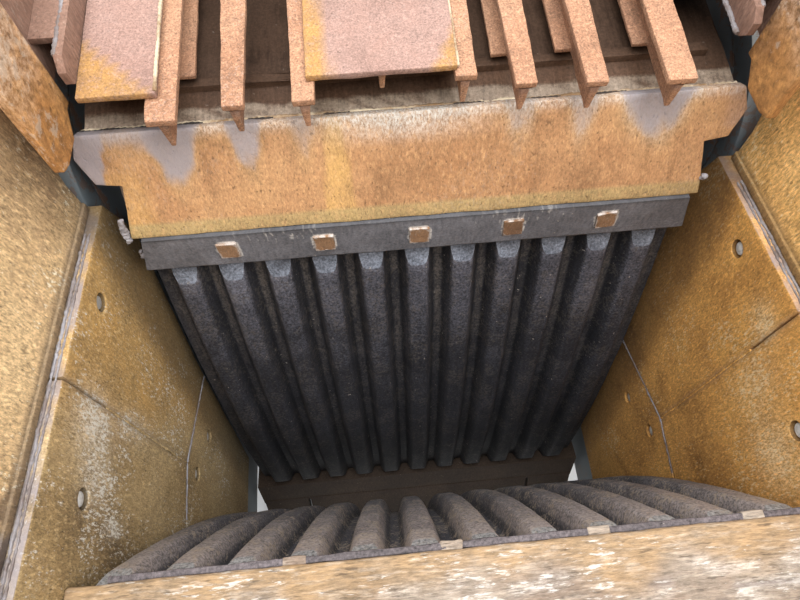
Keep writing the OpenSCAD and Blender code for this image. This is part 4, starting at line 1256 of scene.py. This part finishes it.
for side, finish in (("left", HOPPER_LEFT), ("right", HOPPER_RIGHT)):
    bm = rounded(copied(f"hopper_{side}"), 3, 2)
    sliced(bm, 16, Y)
    sliced(bm, 9, Z)
    dented(bm, 1.4, 150, 4)
    paint(bm, "polish", lambda x, y, z: scoured(y, z, side))
    paint(bm, "grime", lambda x, y, z: hopper_dirt_and_shade(y, z, side))
    piece(f"hopper_{side}_worn", bm, finish, "frame", f"hopper_{side}")
    fillets = corner_beads([f"hopper_{side}"], 5.0, 12.0, inside=RIB_SIDE)
    piece(f"hopper_{side}_fillets", fillets, finish, "frame", ())
    bm = rounded(copied(f"deflector_{side}"), 3, 3)
    sliced(bm, 16, Z)
    sliced(bm, 16, Y)
    dented(bm, 0.5, 90, 5)
    paint(bm, "chalk", lambda x, y, z: 0.9 * smooth(z + 60 * noise.noise(Vector((y / 60, z / 60, 2.0))),
                                                    300, 480))
    piece(f"deflector_{side}_worn", bm, CORNER, "frame", f"deflector_{side}")

# %% [markdown]
# ## The hopper's front
# The front plate is the largest flat one, and a flat plate of this size always
# buckles a little. Long soft dents show that in the light, and dark streaks
# run down it, drawn by noise that is stretched in height.

# %% Hopper front
bm = rounded(copied("hopper_front"), 4, 2)
sliced(bm, 30, X)
sliced(bm, 30, Z)
dented(bm, 2.2, 220, 14)
paint(bm, "grime", lambda x, y, z: 0.5 * smooth(noise.noise(Vector((x / 60, y / 60, z / 700))), 0.05, 0.5))
piece("hopper_front_worn", bm, HOPPER_LEFT, "frame", "hopper_front")

# %% [markdown]
# ## The front beam
# The beam that the feed first meets is flaked by impact. Pale scale lies on it
# in streaks across the machine, and its rear edge glows brown. The noise is
# stretched along x, so the marks lie as the blows do.

# %% Front beam
bm = rounded(copied("front_beam"), 6, 3)
sliced(bm, 12, X)
sliced(bm, 12, Y)
dented(bm, 1.6, 60, 5)
paint(bm, "polish", lambda x, y, z: 0.7 * smooth(noise.noise(Vector((x / 80, y / 20, 4.2))), 0.15, 0.45)
      * smooth(-y, 40, 90))
paint(bm, "glow", lambda x, y, z: 0.8 * smooth(y + 40 * noise.noise(Vector((x / 90, 0.3, 6.0))), -75, -30))
paint(bm, "chalk", lambda x, y, z: smooth(noise.noise(Vector((x / 60, y / 14, 9.2))), 0.1, 0.4)
      * smooth(-y, 30, 80))
piece("front_beam_worn", bm, BEAM, "frame", "front_beam")

# %% [markdown]
# ## Lips and tabs on the fixed die
# Short lips hold the fixed die's top edge against the beam, with small tabs of
# weld between them. A tab starts as a cube, but rounding, slicing and a strong
# dent leave nothing of its straight edges.

# %% Lips and tabs
TAB_X, TAB_SIZE = (-236, -10, 206, 436), Matrix.Diagonal((0.034, 0.014, 0.013, 1))

bm = rounded(copied("die_lips"), 2, 2)
sliced(bm, 14, X)
dented(bm, 1.5, 26, 7)
piece("die_lips_worn", bm, LIP, "frame", "die_lips")
bm = bmesh.new()
for x in TAB_X:
    bmesh.ops.create_cube(bm, size=1, matrix=Matrix.Translation(at(x, -3, 12.5)) @ TAB_SIZE)
rounded(bm, 2.5)
sliced(bm, 8, X)
dented(bm, 1.6, 14, 3)
piece("lip_tabs", bm, BEAM, "frame", ())

# %% [markdown]
# ## The deck's own axes
# The end of the grizzly deck slopes by five degrees. Wear on it and welds along
# it follow the slope, so two small functions measure over the deck and place a
# point on it, as the first two did for the drawing.

# %% Over and along the deck
DECK_TIP, DECK_RISE = Vector((590.0, 303.0)), Vector((cos(radians(5)), sin(radians(5))))
DECK_UP = Vector((-DECK_RISE.y, DECK_RISE.x))


def over_deck(y, z):
    """How far a point lies over the deck's surface."""
    return (Vector((y, z)) - DECK_TIP).dot(DECK_UP)


def on_deck(x, u, w):
    """A drawn point at u along the deck and w over its surface."""
    y, z = DECK_TIP + DECK_RISE * u + DECK_UP * w
    return x, y, z


print("the deck's surface 300 mm in:", tuple(round(v, 1) for v in on_deck(0, 300, 0)))

# %% [markdown]
# ## Deck bars, plates and liners
# Worn strips on tapering webs reach over the swing jaw's head. Their tips are
# pitted, and the upper part of each web is rubbed. Flat plates close parts of
# the deck. They stay pink where fines rest on them and rust yellow at the
# corners, which are cut off by slanting lines, so that is how they are painted.

# %% Deck bars, plates and liners
PLATE_TIP, LEFT_EDGE, MIDDLE_LEFT, MIDDLE_RIGHT = 606, -489, -162, 60


def yellow_corners(x, y, z):
    """The front corners of the left plate and of the middle one."""
    back = y - PLATE_TIP
    return 0.95 * max(
        smooth(1.08 - (x - LEFT_EDGE) / 105 - back / 105, 0, 0.14),
        smooth(42 - (x - MIDDLE_LEFT) - 0.10 * back, 0, 12) if x > MIDDLE_LEFT - 8 else 0,
        smooth(1 - (MIDDLE_RIGHT - x) / 44 - back / 95, 0, 0.25) if x < MIDDLE_RIGHT + 10 else 0)


bm = rounded(copied("grizzly_bars"), 4, 3)
sliced(bm, 14, Y)
dented(bm, 1.2, 35, 11)
paint(bm, "polish", lambda x, y, z: 0.55 * smooth(over_deck(y, z), -34, -22)
      * smooth(-over_deck(y, z), 12, 14))
piece("grizzly_bars_worn", bm, BAR, "frame", "grizzly_bars")
bm = rounded(copied("deck_plates"), 2, 2)
sliced(bm, 16, Y)
sliced(bm, 16, X)
dented(bm, 1.3, 70, 12)
paint(bm, "glow", yellow_corners)
piece("deck_plates_worn", bm, DECK, "frame", "deck_plates")
bm = rounded(copied("side_liners"), 3, 2)
sliced(bm, 20, Y)
dented(bm, 1.0, 60, 13)
piece("side_liners_worn", bm, LINER, "frame", "side_liners")

# %% [markdown]
# ## Welds on the deck
# The plates are tacked to the bars under them, and the liners to the deck's
# sides. The beads run along the slope, so their ends are given on the deck.

# %% Deck welds
bm = bmesh.new()
bead(bm, [on_deck(-376, 24, 12), on_deck(-376, 300, 12)], 3, 2.5, 1)
bead(bm, [on_deck(61, 34, 7), on_deck(61, 200, 7)], 2.5, 2.5, 2)
piece("deck_seams", bm, CRUST, "frame", ())
bm = bmesh.new()
for side in (-1, 1):
    bead(bm, [on_deck(side * 487, 60, 4), on_deck(side * 487, 420, 4)], 4, 3.5, side)
    bead(bm, [on_deck(side * 501, 62, 50), on_deck(side * 501, 420, 50)], 4, 3.5, side + 3)
piece("deck_welds", bm, WELD, "frame", ())

# %% [markdown]
# ## Bolts on the bearings, wheels and hopper
# Ring after ring of fasteners: twelve hold each bearing housing, eight its
# cover, ten lock each wheel to the shaft, and a row clamps the hopper's flange.
# An array on an empty would do the rings, but a loop keeps them in one mesh.

# %% Rings and rows of bolts
SHAFT_Y, SHAFT_Z = 870.0, -10.0
HOUSING_X, COVER_X, HUB_X, FLANGE_X, FLANGE_TOP = 675, 715, 949, 620, 15.6


def bolt_ring(bm, x, side, radius, count, flats):
    """Fasteners round the shaft on a face at x."""
    for i in range(count):
        turn = 2 * pi * (i + 0.5) / count
        place = at(side * x, SHAFT_Y + radius * cos(turn), SHAFT_Z + radius * sin(turn))
        fastener(bm, place, (side, 0, 0), flats)


for side, name in ((-1, "left"), (1, "right")):
    bm = bmesh.new()
    bolt_ring(bm, HOUSING_X, side, 232, 12, 36)
    bolt_ring(bm, COVER_X, side, 152, 8, 24)
    piece(f"bearing_bolts_{name}", bm, NUT, "frame", ())
    bm = bmesh.new()
    bolt_ring(bm, HUB_X, side, 128, 10, 24)
    piece(f"hub_bolts_{name}", bm, NUT, "frame", ())
    bm = bmesh.new()
    for y in range(-280, 600, 125):
        fastener(bm, at(side * FLANGE_X, y, seam_z(y) + FLANGE_TOP), (0, SEAM_FALL, 1), 27)
    piece(f"hopper_bolts_{name}", bm, NUT, "frame", ())

# %% [markdown]
# ## Solids that keep their shape
# Some pieces are right as they came: the turned shaft, the grooved sheave, the
# toggle and its seats, the rod and the deck's side walls. Copying them would
# gain nothing, so only their material slots are filled.

# %% Nodes that keep their solid
PLAIN = {
    "grizzly_side_left": LINER, "grizzly_side_right": LINER,
    "eccentric_shaft": SHAFT, "drive_sheave": WHEEL, "toggle_plate": GREASE, "rear_toggle_seat": GREASE,
    "front_toggle_seat": GREASE, "tension_rod": SHAFT,
}
for node, material in PLAIN.items():
    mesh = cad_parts[node].data
    mesh.materials.clear()
    mesh.materials.append(material)
print("solids that stay:", len(PLAIN))

# %% [markdown]
# ## The floor
# A pale floor catches the machine's shadow, so that it stands and doesn't
# float. It is no part of the machine.

# %% Floor
FLOOR_HALF = 14.0

f = Finish("pale_floor")
f.finished((0.80, 0.80, 0.79), 0.9)
bm = bmesh.new()
bmesh.ops.create_grid(bm, x_segments=1, y_segments=1, size=FLOOR_HALF)
mesh = bpy.data.meshes.new("floor")
bm.to_mesh(mesh)
bm.free()
mesh.materials.append(f.material)
floor = bpy.data.objects.new("floor", mesh)
bpy.context.collection.objects.link(floor)
print("floor laid")

# %% [markdown]
# ## The end

# %% The end
print("the end")
